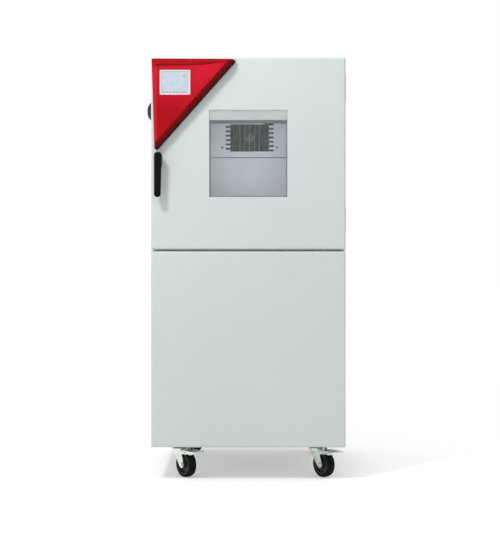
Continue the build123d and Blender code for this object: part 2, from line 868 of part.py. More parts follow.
def door_gasket():
    """Hollow silicone seal on the inner skin, with a soft lip towards the cabinet."""
    y0 = door_back_y
    y1 = flange_y - gasket_clearance
    base = Pos(0, chamber_z) * ring_outline(gasket_inner, gasket_inner, gasket_width, 12.0)
    lip = Pos(0, chamber_z) * ring_outline(gasket_inner + 4.0, gasket_inner + 4.0, gasket_width - 4.0, 14.0)
    return facing(base, y0, y0 + 5.0) + facing(lip, y0 + 5.0, y1)


# Hinges

def hinge_centres():
    """Heights of the middle of the two hinges."""
    return (door_bottom_z + lower_hinge_height, top_z - upper_hinge_drop)


def knuckle_spans(centre, on_door):
    """Lower and upper end of the knuckles that belong to the door or to the cabinet."""
    third = hinge_length / 3
    low = centre - hinge_length / 2
    spans = [(low, low + third), (low + third, low + 2 * third), (low + 2 * third, low + 3 * third)]
    chosen = spans[1:2] if on_door else spans[::2]
    trim = knuckle_gap / 2
    return [(z0 + (trim if z0 > low else 0), z1 - (trim if z1 < low + hinge_length else 0)) for z0, z1 in chosen]


def hinge_half(centre, on_door):
    """Leaf with its knuckles, for one hinge."""
    barrel = hinge_barrel / 2
    y0, y1 = ((door_back_y, door_back_y + hinge_leaf_thickness) if on_door
              else (flange_y - hinge_leaf_thickness, flange_y))
    half = slab(side_x - hinge_leaf, side_x - barrel - 1.0, y0, y1, centre - hinge_length / 2, centre + hinge_length / 2)
    for z0, z1 in knuckle_spans(centre, on_door):
        half += slab(side_x - barrel - 1.0, side_x, y0, y1, z0, z1)
        half += Pos(side_x, hinge_y, (z0 + z1) / 2) * Cylinder(barrel, z1 - z0)
    if on_door:
        half -= Pos(side_x, hinge_y, centre) * Cylinder(hinge_pin / 2 + pin_fit, hinge_length)
    for dz in (-0.33, 0.33):
        x, z = side_x - hinge_leaf * 0.62, centre + dz * hinge_length
        face_y = y1 if on_door else y0
        half += rod((x, face_y, z), (x, face_y + (1.2 if on_door else -1.2), z), 4.0)
    return half


def cabinet_hinges():
    """Two fixed leaves with the hinge pins."""
    halves = []
    for centre in hinge_centres():
        leaf = hinge_half(centre, False)
        leaf += Pos(side_x, hinge_y, centre) * Cylinder(hinge_pin / 2, hinge_length)
        halves.append(leaf)
    return Compound(halves)


def door_hinges():
    """Two leaves that turn with the door."""
    return Compound([hinge_half(centre, True) for centre in hinge_centres()])


# Handle and latch

def handle_mount():
    """Base on the door with two ears and the handle's pin."""
    top = pivot_z + mount_height * 0.42
    outline = Pos(handle_x, top - mount_height / 2) * RectangleRounded(
        handle_tail_width + 2.0, mount_height, handle_end_radius)
    base = facing(outline, door_front_y - mount_thickness, door_front_y)
    base -= latch_slot(door_front_y - mount_thickness, door_front_y)
    ear = make_hull([
        *(Pos(pivot_y, pivot_z) * Circle(ear_radius)).edges(),
        *(Pos(door_front_y - mount_thickness / 2, pivot_z) * Rectangle(mount_thickness, 3 * ear_radius)).edges()])
    inner = lug_width / 2 + running_gap
    for side in (-1, 1):
        a, b = handle_x + side * inner, handle_x + side * (inner + ear_thickness)
        base += sideways(ear, min(a, b), max(a, b))
    span = inner + ear_thickness
    return base + rod((handle_x - span, pivot_y, pivot_z), (handle_x + span, pivot_y, pivot_z), pivot_pin / 2)


def handle_lever():
    """Long lever that narrows towards its foot, with the pivot lug behind it."""
    front = -overall_depth / 2
    back = front + handle_thickness
    foot_z = handle_top_z - handle_length
    half, tail = handle_width / 2, handle_tail_width / 2
    left = handle_x - half
    outline = Polyline(
        (left, foot_z), (left + 2 * tail, foot_z), (left + 2 * half, handle_top_z), (left, handle_top_z), close=True)
    face = fillet(make_face(outline).vertices(), handle_end_radius)
    lever = facing(face, front, back)
    lever = fillet(lever.faces().sort_by(Axis.Y)[0].edges(), 4.0)
    lug = make_hull([
        *(Pos(pivot_y, pivot_z) * Circle(ear_radius)).edges(),
        *(Pos(back - 1.0, pivot_z) * Rectangle(2.0, 2.4 * ear_radius)).edges()])
    half_lug = lug_width / 2
    lever += sideways(lug, handle_x - half_lug, handle_x + half_lug)
    bore = rod(
        (handle_x - half_lug, pivot_y, pivot_z), (handle_x + half_lug, pivot_y, pivot_z),
        pivot_pin / 2 + pin_fit)
    room = Pos(0, 0) * latch_outline(0.0)
    return lever - bore - sideways(room, handle_x - latch_plate / 2, handle_x + latch_plate / 2)


def latch_outline(grow):
    """Side view of the latch arm: an eye on the pivot and an arm to the cabinet."""
    eye = Pos(pivot_y, pivot_z) * Circle(latch_height / 2 + grow)
    arm = Pos((pivot_y + latch_tip_y) / 2, pivot_z) * Rectangle(latch_tip_y - pivot_y, latch_height)
    nose = Pos(latch_tip_y, pivot_z - latch_height / 2) * Rectangle(24.0, 9.0)
    return eye + arm - nose


def latch_hook():
    """Steel arm in the lever's lug, which passes through the door under the strike."""
    arm = sideways(latch_outline(0.0), handle_x - latch_plate / 2, handle_x + latch_plate / 2)
    return arm - rod(
        (handle_x - latch_plate, pivot_y, pivot_z), (handle_x + latch_plate, pivot_y, pivot_z),
        pivot_pin / 2 + pin_fit)


def latch_strike():
    """Bracket on the front frame with the bar that the latch arm comes under."""
    bar_y = flange_y - strike_setback
    bar_z = pivot_z + strike_rise
    half = 14.0
    bracket = slab(handle_x - half, handle_x + half, flange_y - 2.0, flange_y, bar_z - 12.0, bar_z + 26.0)
    radius = strike_bar / 2 + 1.5
    ear = make_hull([
        *(Pos(bar_y, bar_z) * Circle(radius)).edges(),
        *(Pos(flange_y - 1.0, bar_z + 6.0) * Rectangle(2.0, 18.0)).edges()])
    for side in (-1, 1):
        a, b = handle_x + side * half, handle_x + side * (half - 3.0)
        bracket += sideways(ear, min(a, b), max(a, b))
    return bracket + rod((handle_x - half, bar_y, bar_z), (handle_x + half, bar_y, bar_z), strike_bar / 2)


# Control housing on the door

def housing_corners(inset, bevel):
    """Corners of the housing's outline, pulled in along its straight sides and its slanted side."""
    left = -housing_left + inset
    top = top_z - housing_top_drop - inset
    tip = Vector(housing_tip_x, top_z - housing_tip_drop)
    foot = Vector(housing_foot_x, top_z - housing_foot_drop)
    slope = (tip - foot).normalized()
    inward = Vector(-slope.Y, slope.X)
    tip_in, foot_in = tip + inward * bevel, foot + inward * bevel
    run = (tip_in - foot_in)
    tip_x = foot_in.X + run.X * (top - 1.5 - foot_in.Y) / run.Y
    foot_x = left + (housing_foot_x + housing_left)
    foot_z = foot_in.Y + run.Y * (foot_x - foot_in.X) / run.X
    return [(left, top), (tip_x, top - 1.5), (foot_x, foot_z)]


def housing_outline(inset, bevel, corner):
    """Three-cornered outline with rounded corners."""
    face = make_face(Polyline(*housing_corners(inset, bevel), close=True))
    return fillet(face.vertices(), corner)


def control_housing():
    """Moulded shell: flat face, wide bevel on the slanted side, raised bands and a display well."""
    face_y = door_front_y - housing_depth
    back = Plane.XZ.offset(-door_front_y) * housing_outline(0.0, 0.0, housing_corner)
    shoulder = Plane.XZ.offset(-(door_front_y - housing_depth * 0.35)) * housing_outline(0.6, 1.0, housing_corner)
    front = Plane.XZ.offset(-face_y) * housing_outline(housing_draft, housing_bevel, housing_corner * 0.6)
    shell = loft([back, shoulder], ruled=True) + loft([shoulder, front], ruled=True)
    wall = housing_wall
    inner_back = Plane.XZ.offset(-door_front_y) * housing_outline(wall, wall, housing_corner - wall)
    inner_front = Plane.XZ.offset(-(face_y + wall + bezel_recess + bezel_thickness)) * housing_outline(
        wall + 3.0, housing_bevel, 2.0)
    shell -= loft([inner_back, inner_front], ruled=True)
    shell -= [band_groove_cut(), display_well()]
    return shell


def band_groove_cut():
    """Groove under the top band, which rises towards the right-hand tip."""
    face_y = door_front_y - housing_depth
    left = -housing_left + 20.0
    low = top_z - housing_top_drop - band_height
    middle_x = -bezel_left + bezel_width
    tip_x = housing_corners(housing_draft, housing_bevel)[1][0] - 30.0
    lower = Spline((left, low), (middle_x, low), (tip_x, low + 14.0), tangents=[(1, 0), (1, 0.22)])
    upper = Spline(
        (left, low + band_groove), (middle_x, low + band_groove), (tip_x, low + 15.0),
        tangents=[(1, 0), (1, 0.14)])
    ends = [Line(lower @ 0, upper @ 0), Line(lower @ 1, upper @ 1)]
    return facing(make_face([lower, upper, *ends]), face_y, face_y + band_depth)


def display_place():
    """Centre of the display in x and z."""
    x = -bezel_left + bezel_width / 2
    z = top_z - bezel_top_drop - bezel_height / 2
    return x, z


def display_well():
    """Recess that takes the display, through the housing's face."""
    x, z = display_place()
    face_y = door_front_y - housing_depth
    depth = housing_wall + bezel_recess + bezel_thickness
    return facing(Pos(x, z) * Rectangle(bezel_width, bezel_height), face_y - 1.0, face_y + depth)


def display_bezel():
    """Pale frame round the screen, sunk into the housing."""
    x, z = display_place()
    front = door_front_y - housing_depth + bezel_recess
    opening_w, opening_h = bezel_width - 2 * screen_margin, bezel_height - 2 * screen_margin
    frame = facing(Pos(x, z) * Rectangle(bezel_width, bezel_height), front, front + bezel_thickness)
    frame = chamfer(frame.faces().sort_by(Axis.Y)[0].edges(), 1.2)
    opening = Pos(x, z) * Rectangle(opening_w, opening_h)
    return frame - facing(opening, front - 1, front + bezel_thickness)


def display_screen():
    """Screen module in the bezel, with its board behind."""
    x, z = display_place()
    front = door_front_y - housing_depth + bezel_recess
    opening_w, opening_h = bezel_width - 2 * screen_margin, bezel_height - 2 * screen_margin
    glass = facing(Pos(x, z) * Rectangle(opening_w, opening_h), front + screen_recess, front + bezel_thickness)
    board = facing(
        Pos(x, z) * Rectangle(bezel_width - 4.0, bezel_height - 4.0), front + bezel_thickness,
        front + bezel_thickness + 2.0)
    return glass + board


# Casters, drawn with the swivel axis on the origin and the wheel trailing along +X

def caster_corners():
    """Where each caster's swivel axis stands."""
    front = flange_y + caster_front_setback
    return {
        "fl": (-caster_x, front), "fr": (caster_x, front),
        "rl": (-caster_x, front + caster_wheelbase), "rr": (caster_x, front + caster_wheelbase)}


def at_corner(corner, shape):
    """Put a caster piece under its corner, turned to the heading it stands in."""
    x, y = caster_corners()[corner]
    return Pos(x, y, 0) * Rot(0, 0, caster_heading) * shape


def crown_top_z():
    """Top of the fork's crown, just under the race."""
    return caster_height - caster_plate_thickness - race_height - race_gap


def caster_plate():
    """Top plate with its bolts, the upper race and the kingpin."""
    plate_z = caster_height - caster_plate_thickness
    race_z = plate_z - race_height
    outline = RectangleRounded(caster_plate_length, caster_plate_width, 8)
    plate = Pos(0, 0, plate_z) * extrude(outline, amount=caster_plate_thickness)
    plate += Pos(0, 0, race_z) * extrude(Circle(race_diameter / 2), amount=race_height)
    for sx in (-1, 1):
        for sy in (-1, 1):
            x = sx * (caster_plate_length / 2 - 10.0)
            y = sy * (caster_plate_width / 2 - 10.0)
            plate += Pos(x, y, plate_z - 5.5) * extrude(RegularPolygon(7.5, 6), amount=5.5)
    head_top = crown_top_z() - crown_thickness - running_gap
    plate += Pos(0, 0, head_top) * extrude(Circle(kingpin / 2), amount=race_z - head_top)
    return plate + Pos(0, 0, head_top - kingpin_head_height) * extrude(
        RegularPolygon(kingpin_head / 2, 6), amount=kingpin_head_height)


def caster_plates():
    """The four top plates, squared to the cabinet."""
    return Compound([Pos(x, y, 0) * caster_plate() for x, y in caster_corners().values()])


def wheel_z():
    """Height of the wheel's axis."""
    return wheel_diameter / 2


def pedal_pivot():
    """The pedal pin's place along the trail and its height."""
    return pedal_pivot_out, wheel_z() + pedal_pivot_rise


def leg_faces():
    """Distance from the wheel's mid-plane to the inside and the outside of a fork leg."""
    inside = tyre_width / 2 + leg_clearance
    return inside, inside + leg_thickness


def across(sketch, y0, y1):
    """Side view of a caster piece, given a thickness along the axle."""
    return facing(sketch, y0, y1)


def caster_fork(braked):
    """Pressed fork with its crown, axle and, on a braked caster, the pedal pin."""
    inside, outside = leg_faces()
    top = crown_top_z()
    crown_z = top - crown_thickness
    leg = make_hull([
        *(Pos(trail, wheel_z()) * Circle(axle_head / 2 + 5.0)).edges(),
        *(Pos(6.0, crown_z + 3.0) * Rectangle(crown_diameter - 12.0, 6.0)).edges()])
    if braked:
        out, rise = pedal_pivot()
        leg += make_hull([
            *(Pos(out, rise) * Circle(pedal_pin / 2 + pedal_ear)).edges(),
            *(Pos(trail - 10.0, rise - 6.0) * Circle(6.0)).edges()])
    fork = across(leg, -outside, -inside) + across(leg, inside, outside)
    crown = Pos(0, 0, crown_z) * extrude(Circle(crown_diameter / 2), amount=crown_thickness)
    crown = fillet(crown.edges().sort_by(Axis.Z)[-1], 4.0)
    bore = Pos(0, 0, crown_z) * extrude(Circle(kingpin / 2 + pin_fit), amount=crown_thickness)
    fork += crown
    fork += rod((trail, -outside - 5.0, wheel_z()), (trail, outside + 5.0, wheel_z()), axle / 2)
    for side in (-1, 1):
        head = Plane(origin=(trail, side * outside, wheel_z()), z_dir=(0, side, 0)) * RegularPolygon(axle_head / 2, 6)
        fork += extrude(head, amount=5.0)
    if braked:
        pin_end = outside + 2 * pedal_plate + 2.0
        fork += rod((out, -pin_end, rise), (out, pin_end, rise), pedal_pin / 2)
    return fork - bore


def caster_wheel():
    """Rubber tyre on a moulded hub, bored for the axle."""
    rim = wheel_diameter / 2 - tyre_thickness
    half = tyre_width / 2
    tyre_section = Pos(rim + tyre_thickness / 2, 0) * Rectangle(tyre_thickness, tyre_width)
    tyre_section = fillet(tyre_section.vertices().sort_by(Axis.X)[-2:], tyre_shoulder)
    bore = axle / 2 + pin_fit
    boss_end = leg_faces()[0] - 0.6
    hub_section = Pos(rim - 2.0, 0) * Rectangle(4.0, 2 * half - 2.0)
    hub_section += Pos((rim + bore) / 2, 0) * Rectangle(rim - bore, 9.0)
    hub_section += Pos((hub_boss / 2 + bore) / 2, 0) * Rectangle(hub_boss / 2 - bore, 2 * boss_end)
    tyre = revolve(tyre_section, Axis.Y)
    hub = revolve(hub_section, Axis.Y)
    return Pos(trail, 0, wheel_z()) * Compound([hub, tyre])


def brake_pedal():
    """Foot pedal on the fork's pin, with the shoe that it presses on the tyre."""
    out, rise = pedal_pivot()
    cheek_in = leg_faces()[1] + 0.4
    cheek_out = cheek_in + pedal_plate
    plate_z = rise + pedal_rise
    cheek = make_hull([
        *(Pos(out, rise) * Circle(pedal_pin / 2 + 4.5)).edges(),
        *(Pos((out + pedal_tip_out) / 2 - 6.0, plate_z + 0.5) * Rectangle(pedal_tip_out - out - 12.0, 3.0)).edges()])
    pedal = across(cheek, -cheek_out, -cheek_in) + across(cheek, cheek_in, cheek_out)
    tread = slab(pedal_front_out, pedal_tip_out, -cheek_out, cheek_out, plate_z, plate_z + pedal_plate)
    tread = fillet(tread.edges().filter_by(Axis.Z).sort_by(Axis.X)[-2:], 12.0)
    pedal += tread
    for rib in range(4):
        x = pedal_tip_out - 12.0 - 9.0 * rib
        pedal += slab(x - 1.5, x + 1.5, -16, 16, plate_z + pedal_plate, plate_z + pedal_plate + 1.5)
    shoe = slab(out + 3.0, out + 3.0 + shoe_length, -shoe_width / 2, shoe_width / 2, rise - 12.0, plate_z)
    turn = math.radians(pedal_travel)
    dx, dz = trail - out, wheel_z() - rise
    axle_x = out + dx * math.cos(turn) - dz * math.sin(turn)
    axle_z = rise + dx * math.sin(turn) + dz * math.cos(turn)
    shoe -= rod(
        (axle_x, -shoe_width, axle_z), (axle_x, shoe_width, axle_z), wheel_diameter / 2 + brake_clearance)
    pedal += shoe
    return pedal - rod((out, -cheek_out - 1, rise), (out, cheek_out + 1, rise), pedal_pin / 2 + pin_fit)


# Cooling machine

tray_z = caster_height + base_sheet
condenser_rear_y = rear_in_y - base_lip - condenser_rear_gap
condenser_front_y = condenser_rear_y - condenser_depth
condenser_z = tray_z + condenser_stand + condenser_height / 2
shroud_front_y = condenser_front_y - shroud_depth
lines_x = 324.0
lines_y = foam_back_y + 60.0
lines_hole = 40.0
line_hole = coil_tube + 1.0


def compressor():
    """Hermetic compressor: domed shell on a plate with four rubber feet."""
    plate_z = tray_z + compressor_foot_height
    half_x, half_y = compressor_foot_spacing_x / 2, compressor_foot_spacing_y / 2
    plate = Pos(0, 0, plate_z) * extrude(
        RectangleRounded(compressor_foot_spacing_x + 40.0, compressor_foot_spacing_y + 40.0, 18),
        amount=compressor_plate)
    for sx in (-1, 1):
        for sy in (-1, 1):
            foot = Pos(sx * half_x, sy * half_y, tray_z) * extrude(Circle(13), amount=compressor_foot_height)
            plate += foot
    shell_z = plate_z + compressor_plate
    shell = Pos(0, 0, shell_z) * extrude(Circle(compressor_radius), amount=compressor_height)
    shell = fillet(shell.edges().filter_by(GeomType.CIRCLE).sort_by(Axis.Z)[-1], 60.0)
    shell = fillet(shell.edges().filter_by(GeomType.CIRCLE).sort_by(Axis.Z)[0], 25.0)
    seam_z = shell_z + compressor_height * 0.62
    shell += Pos(0, 0, seam_z) * extrude(Circle(compressor_radius + 4.0), amount=4.0)
    terminals = slab(-compressor_radius - 30.0, -compressor_radius + 12.0, -32, 32, seam_z - 90.0, seam_z - 20.0)
    stub = rod((compressor_radius - 12.0, 0, discharge_z()), (compressor_radius + 10.0, 0, discharge_z()), 9.0)
    return Pos(compressor_x, compressor_y, 0) * (plate + shell + terminals + stub)


def compressor_top_z():
    """Top of the compressor's shell."""
    return tray_z + compressor_foot_height + compressor_plate + compressor_height


def discharge_z():
    """Height of the discharge stub."""
    return compressor_top_z() - compressor_height / 2


def condenser_coil():
    """Finned condenser on two feet in front of the rear grille."""
    y = (condenser_front_y + condenser_rear_y) / 2
    coil = Pos(condenser_x, y, condenser_z) * fin_block(
        condenser_width, condenser_height, condenser_depth, 0.0)
    for side in (-1, 1):
        edge = condenser_x + side * condenser_width / 2
        foot_in = edge - side * 40.0
        coil += slab(
            edge - sheet / 2, edge + sheet / 2, condenser_front_y, condenser_rear_y,
            tray_z, condenser_z)
        coil += slab(
            min(edge, foot_in), max(edge, foot_in), condenser_front_y, condenser_rear_y,
            tray_z, tray_z + sheet)
    left = condenser_x - condenser_width / 2
    return coil + coil_bends(left, -1, y, condenser_z - 140.0, 28.0, 5)


def condenser_shroud():
    """Sheet shroud with its round throat, and the fan motor on three arms."""
    half_w, half_h = condenser_width / 2 - 10.0, condenser_height / 2
    x, z = condenser_x, condenser_z
    throat = condenser_fan_radius + condenser_fan_tip_gap
    box = facing(Pos(x, z) * Rectangle(2 * half_w, 2 * half_h), shroud_front_y, condenser_front_y)
    box -= facing(
        Pos(x, z) * Rectangle(2 * (half_w - shroud_wall), 2 * (half_h - shroud_wall)),
        shroud_front_y + shroud_wall, condenser_front_y)
    box -= facing(Pos(x, z) * Circle(throat), shroud_front_y, shroud_front_y + shroud_wall)
    ring = Circle(throat + shroud_wall) - Circle(throat)
    box += facing(Pos(x, z) * ring, shroud_front_y - shroud_ring, shroud_front_y + shroud_wall)
    motor_y1 = shroud_front_y - 30.0
    motor_y0 = motor_y1 - condenser_motor_length
    motor = rod((x, motor_y0, z), (x, motor_y1, z), condenser_motor_radius)
    motor = fillet(motor.edges().filter_by(GeomType.CIRCLE), 5)
    for angle in (90, 210, 330):
        arm = slab(condenser_motor_radius - 5, throat + 15.0, -8, 8, -2, 2)
        arm = Pos(0, 0, 0) * arm
        leg = slab(throat + 11.0, throat + 15.0, -8, 8, -2, shroud_front_y - motor_y0 - 20.0)
        spoke = Plane(origin=(x, motor_y0 + 20.0, z), x_dir=(1, 0, 0), z_dir=(0, 1, 0)) * Rot(0, 0, angle) * (arm + leg)
        motor += spoke
    shroud = box + motor
    return shroud - rod((x, motor_y0 + 10.0, z), (x, motor_y1 + 1, z), condenser_shaft / 2 + pin_fit)


def condenser_fan():
    """Axial fan in the shroud's throat, on the motor's shaft."""
    x, z = condenser_x, condenser_z
    y = shroud_front_y - 4.0
    fan = Pos(x, y, z) * bladed_fan(
        condenser_fan_hub, condenser_fan_radius, condenser_fan_width, condenser_blades, 48, 28, 1.5)
    motor_y1 = shroud_front_y - 30.0
    return fan + rod((x, motor_y1 - condenser_motor_length + 15.0, z), (x, y, z), condenser_shaft / 2)


def tube(points, radius, bend):
    """Bent copper tube through a few corners."""
    path = FilletPolyline(*points, radius=bend)
    return sweep(Plane(origin=path @ 0, z_dir=path % 0) * Circle(radius), path=path)


def refrigerant_lines():
    """Discharge line, liquid line with its drier, and suction line."""
    coil_left = condenser_x - condenser_width / 2 - sheet / 2
    coil_y = (condenser_front_y + condenser_rear_y) / 2
    coil_top = condenser_z + condenser_height / 2
    start_x = compressor_x + compressor_radius + 10.0
    side_gap_x = coil_left - 19.0
    high_z = coil_top - 25.0
    discharge = tube(
        [(start_x, compressor_y, discharge_z()), (side_gap_x, compressor_y, discharge_z()),
         (side_gap_x, compressor_y, high_z), (side_gap_x, coil_y, high_z), (coil_left, coil_y, high_z)],
        line_radius + 1.0, 12.0)
    low, high = evaporator_ports()
    feed_y = foam_back_y + line_reach
    liquid_x, suction_x = lines_x - 11.0, lines_x + 11.0
    drier_z = deck_z - drier_drop
    drier = Pos(liquid_x, lines_y, drier_z) * Cylinder(drier_radius, drier_length)
    drier = fillet(drier.edges().filter_by(GeomType.CIRCLE), 8)
    liquid = tube(
        [(liquid_x, lines_y, drier_z + drier_length / 2 - 2.0), (liquid_x, lines_y, low[1]),
         (low[0], lines_y, low[1]), (low[0], feed_y, low[1])], line_radius, 20.0)
    feed = tube(
        [(liquid_x, lines_y, drier_z - drier_length / 2 + 2.0), (liquid_x, lines_y, coil_top + 30.0),
         (liquid_x, coil_y, coil_top + 30.0), (liquid_x, coil_y, coil_top)], line_radius, 14.0)
    cross_y, cross_z, drop_x = lines_y - 45.0, deck_z - 260.0, compressor_x + 20.0
    suction = tube(
        [(high[0], feed_y, high[1]), (high[0], lines_y, high[1]), (suction_x, lines_y, high[1]),
         (suction_x, lines_y, cross_z), (suction_x, cross_y, cross_z), (drop_x, cross_y, cross_z),
         (drop_x, compressor_y, cross_z), (drop_x, compressor_y, compressor_top_z())], line_radius, 20.0)
    return Compound([discharge, liquid + drier + feed, suction])


def electrical_box():
    """Folded box with a lid on the left side panel, with three cable glands below."""
    x0 = -side_in
    x1 = x0 + electrical_width
    y0 = flange_y + 380.0
    y1 = y0 + electrical_depth
    z0, z1 = electrical_bottom, electrical_bottom + electrical_height
    box = slab(x0, x1, y0, y1, z0, z1)
    box = fillet(box.edges().filter_by(Axis.Z).sort_by(Axis.X)[-2:], 4.0)
    lid = slab(x1, x1 + 2.0, y0 - 3.0, y1 + 3.0, z0 - 3.0, z1 + 3.0)
    box += lid
    for gland in range(3):
        y = y0 + electrical_depth * (gland + 1) / 4
        box += rod(((x0 + x1) / 2, y, z0 - 14.0), ((x0 + x1) / 2, y, z0), 10.0)
    return box


# Rear fittings

def power_inlet():
    """Panel-mounted mains inlet with the well of its rocker above it."""
    face = Pos(inlet_x, inlet_z) * RectangleRounded(inlet_width, inlet_height, 5)
    body = Pos(inlet_x, inlet_z) * Rectangle(inlet_width - 10.0, inlet_height - 10.0)
    inlet = facing(face, rear_y, rear_y + inlet_face) + facing(body, rear_y - inlet_body_depth, rear_y)
    socket_z = inlet_z - 22.0
    mouth = rear_y + inlet_face
    inlet -= facing(
        Pos(inlet_x, socket_z) * RectangleRounded(socket_width, socket_height, 3), mouth - socket_depth, mouth)
    for column, rise in ((-1, -2.0), (0, 3.0), (1, -2.0)):
        x = inlet_x + column * inlet_pin_spacing
        inlet += slab(
            x - inlet_pin_width / 2, x + inlet_pin_width / 2, mouth - socket_depth, mouth - 3.0,
            socket_z + rise - inlet_pin_height / 2, socket_z + rise + inlet_pin_height / 2)
    x0, z0 = inlet_x, rocker_z()
    half_w, half_l = rocker_width / 2 + rocker_side_gap, rocker_half_length + rocker_end_gap
    inlet -= slab(x0 - half_w, x0 + half_w, mouth - 12.0, mouth, z0 - half_l, z0 + half_l)
    bore = rocker_width / 2 + 3.0
    return inlet - rod((x0 - bore, rocker_y(), z0), (x0 + bore, rocker_y(), z0), rocker_pin / 2 + pin_fit)


def rocker_y():
    """Depth of the rocker's axis."""
    return rear_y + inlet_face - rocker_body


def rocker_z():
    """Height of the rocker's axis."""
    return inlet_z + 25.0


def power_rocker():
    """Rocker button with a shallow V face and two trunnions, standing in its off position."""
    half = rocker_half_length
    outline = Polyline(
        (-2.5, -half + 2), (rocker_rise + 1.5, -half), (rocker_rise, 0), (rocker_rise + 1.5, half),
        (-2.5, half - 2), close=True)
    face = make_face(outline)
    rocker = sideways(face, -rocker_width / 2, rocker_width / 2)
    rocker += rod((-rocker_width / 2 - 2.4, 0, 0), (rocker_width / 2 + 2.4, 0, 0), rocker_pin / 2)
    return Pos(inlet_x, rocker_y(), rocker_z()) * Rot(-rocker_tilt, 0, 0) * rocker


def drain_nozzle():
    """Drain spigot with a flange on the rear panel and a nut inside."""
    tip = rear_y + rear_reach
    nozzle = rod((drain_x, rear_in_y - 20.0, drain_z), (drain_x, tip, drain_z), drain_diameter / 2)
    nozzle += rod((drain_x, rear_y, drain_z), (drain_x, rear_y + drain_flange_thickness, drain_z), drain_flange / 2)
    nut = Plane(origin=(drain_x, rear_in_y, drain_z), z_dir=(0, -1, 0)) * RegularPolygon(drain_flange / 2, 6)
    nozzle += extrude(nut, amount=7.0)
    return nozzle - rod((drain_x, rear_in_y - 20.0, drain_z), (drain_x, tip, drain_z), drain_bore / 2)


# Shelf

def shelf():
    """Wire shelf on the lowest pair of runners."""
    rest_z = floor_z + first_runner_height + shelf_lift
    frame_r, wire_r = shelf_frame_wire / 2, shelf_wire / 2
    half = chamber_width / 2 - shelf_side_gap - frame_r
    y0, y1 = flange_y + shelf_front_setback, baffle_y - shelf_back_gap
    z = rest_z + frame_r
    rack = rod((-half, y0, z), (-half, y1, z), frame_r) + rod((half, y0, z), (half, y1, z), frame_r)
    for y in (y0 + frame_r, y1 - frame_r):
        rack += rod((-half, y, z), (half, y, z), frame_r)
    for n in range(shelf_wires):
        x = -half + 2 * half * (n + 1) / (shelf_wires + 1)
        rack += rod((x, y0 + 1.0, z + wire_r), (x, y1 - 1.0, z + wire_r), wire_r)
    return rack


pieces = {
    "base_frame": base_frame,
    "side_panel_left": lambda: side_panel(-1),
    "side_panel_right": lambda: side_panel(1),
    "top_panel": top_panel,
    "rear_panel_upper": rear_panel_upper,
    "rear_panel_lower": rear_panel_lower,
    "lower_front_panel": lower_front_panel,
    "machine_deck": machine_deck,
    "front_frame": front_frame,
    "chamber_liner": chamber_liner,
    "chamber_insulation": chamber_insulation,
    "air_baffle": air_baffle,
    "rear_wall_sheet": rear_wall_sheet,
    "fan_guard": fan_guard,
    "evaporator_coil": evaporator_coil,
    "heater_coil": heater_coil,
    "temperature_probe": temperature_probe,
    "chamber_fan": chamber_fan,
    "chamber_fan_motor": chamber_fan_motor,
    "access_port_sleeve": access_port_sleeve,
    "port_plug": port_plug,
    "door_shell": door_shell,
    "door_inner_panel": door_inner_panel,
    "door_insulation": door_insulation,
    "window_frame": window_frame,
    "outer_pane": outer_pane,
    "inner_pane": inner_pane,
    "window_lamp": window_lamp,
    "window_seal": window_seal,
    "door_gasket": door_gasket,
    "cabinet_hinges": cabinet_hinges,
    "door_hinges": door_hinges,
    "handle_mount": handle_mount,
    "handle_lever": handle_lever,
    "latch_hook": latch_hook,
    "latch_strike": latch_strike,
    "control_housing": control_housing,
    "display_bezel": display_bezel,
    "display_screen": display_screen,
    "caster_plates": caster_plates,
    "compressor": compressor,
    "condenser_coil": condenser_coil,
    "condenser_shroud": condenser_shroud,
    "condenser_fan": condenser_fan,
    "refrigerant_lines": refrigerant_lines,
    "electrical_box": electrical_box,
    "power_inlet": power_inlet,
    "power_rocker": power_rocker,
    "drain_nozzle": drain_nozzle,
    "shelf": shelf,
}
for corner in caster_corners():
    pieces[f"caster_fork_{corner}"] = lambda corner=corner: at_corner(corner, caster_fork(corner[0] == "f"))
    pieces[f"caster_wheel_{corner}"] = lambda corner=corner: at_corner(corner, caster_wheel())
for corner in ("fl", "fr"):
    pieces[f"brake_pedal_{corner}"] = lambda corner=corner: at_corner(corner, brake_pedal())

os.makedirs("parts", exist_ok=True)
for name, make in pieces.items():
    export_step(make(), f"parts/{name}.step")
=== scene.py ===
import math

import bmesh
import bpy
from mathutils import Matrix, Vector


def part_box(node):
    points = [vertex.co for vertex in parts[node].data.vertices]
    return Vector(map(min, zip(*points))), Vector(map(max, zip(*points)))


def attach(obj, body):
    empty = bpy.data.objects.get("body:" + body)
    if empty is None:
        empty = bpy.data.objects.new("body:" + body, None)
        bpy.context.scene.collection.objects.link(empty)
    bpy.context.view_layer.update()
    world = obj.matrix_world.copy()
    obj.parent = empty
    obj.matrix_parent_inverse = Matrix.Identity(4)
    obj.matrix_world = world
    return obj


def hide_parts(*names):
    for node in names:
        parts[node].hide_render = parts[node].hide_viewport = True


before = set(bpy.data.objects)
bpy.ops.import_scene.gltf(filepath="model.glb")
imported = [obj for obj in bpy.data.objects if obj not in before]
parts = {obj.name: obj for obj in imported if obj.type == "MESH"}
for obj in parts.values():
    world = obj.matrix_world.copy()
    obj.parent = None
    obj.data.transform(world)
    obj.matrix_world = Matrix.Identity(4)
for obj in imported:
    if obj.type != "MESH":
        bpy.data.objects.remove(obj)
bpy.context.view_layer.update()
scene = bpy.context.scene

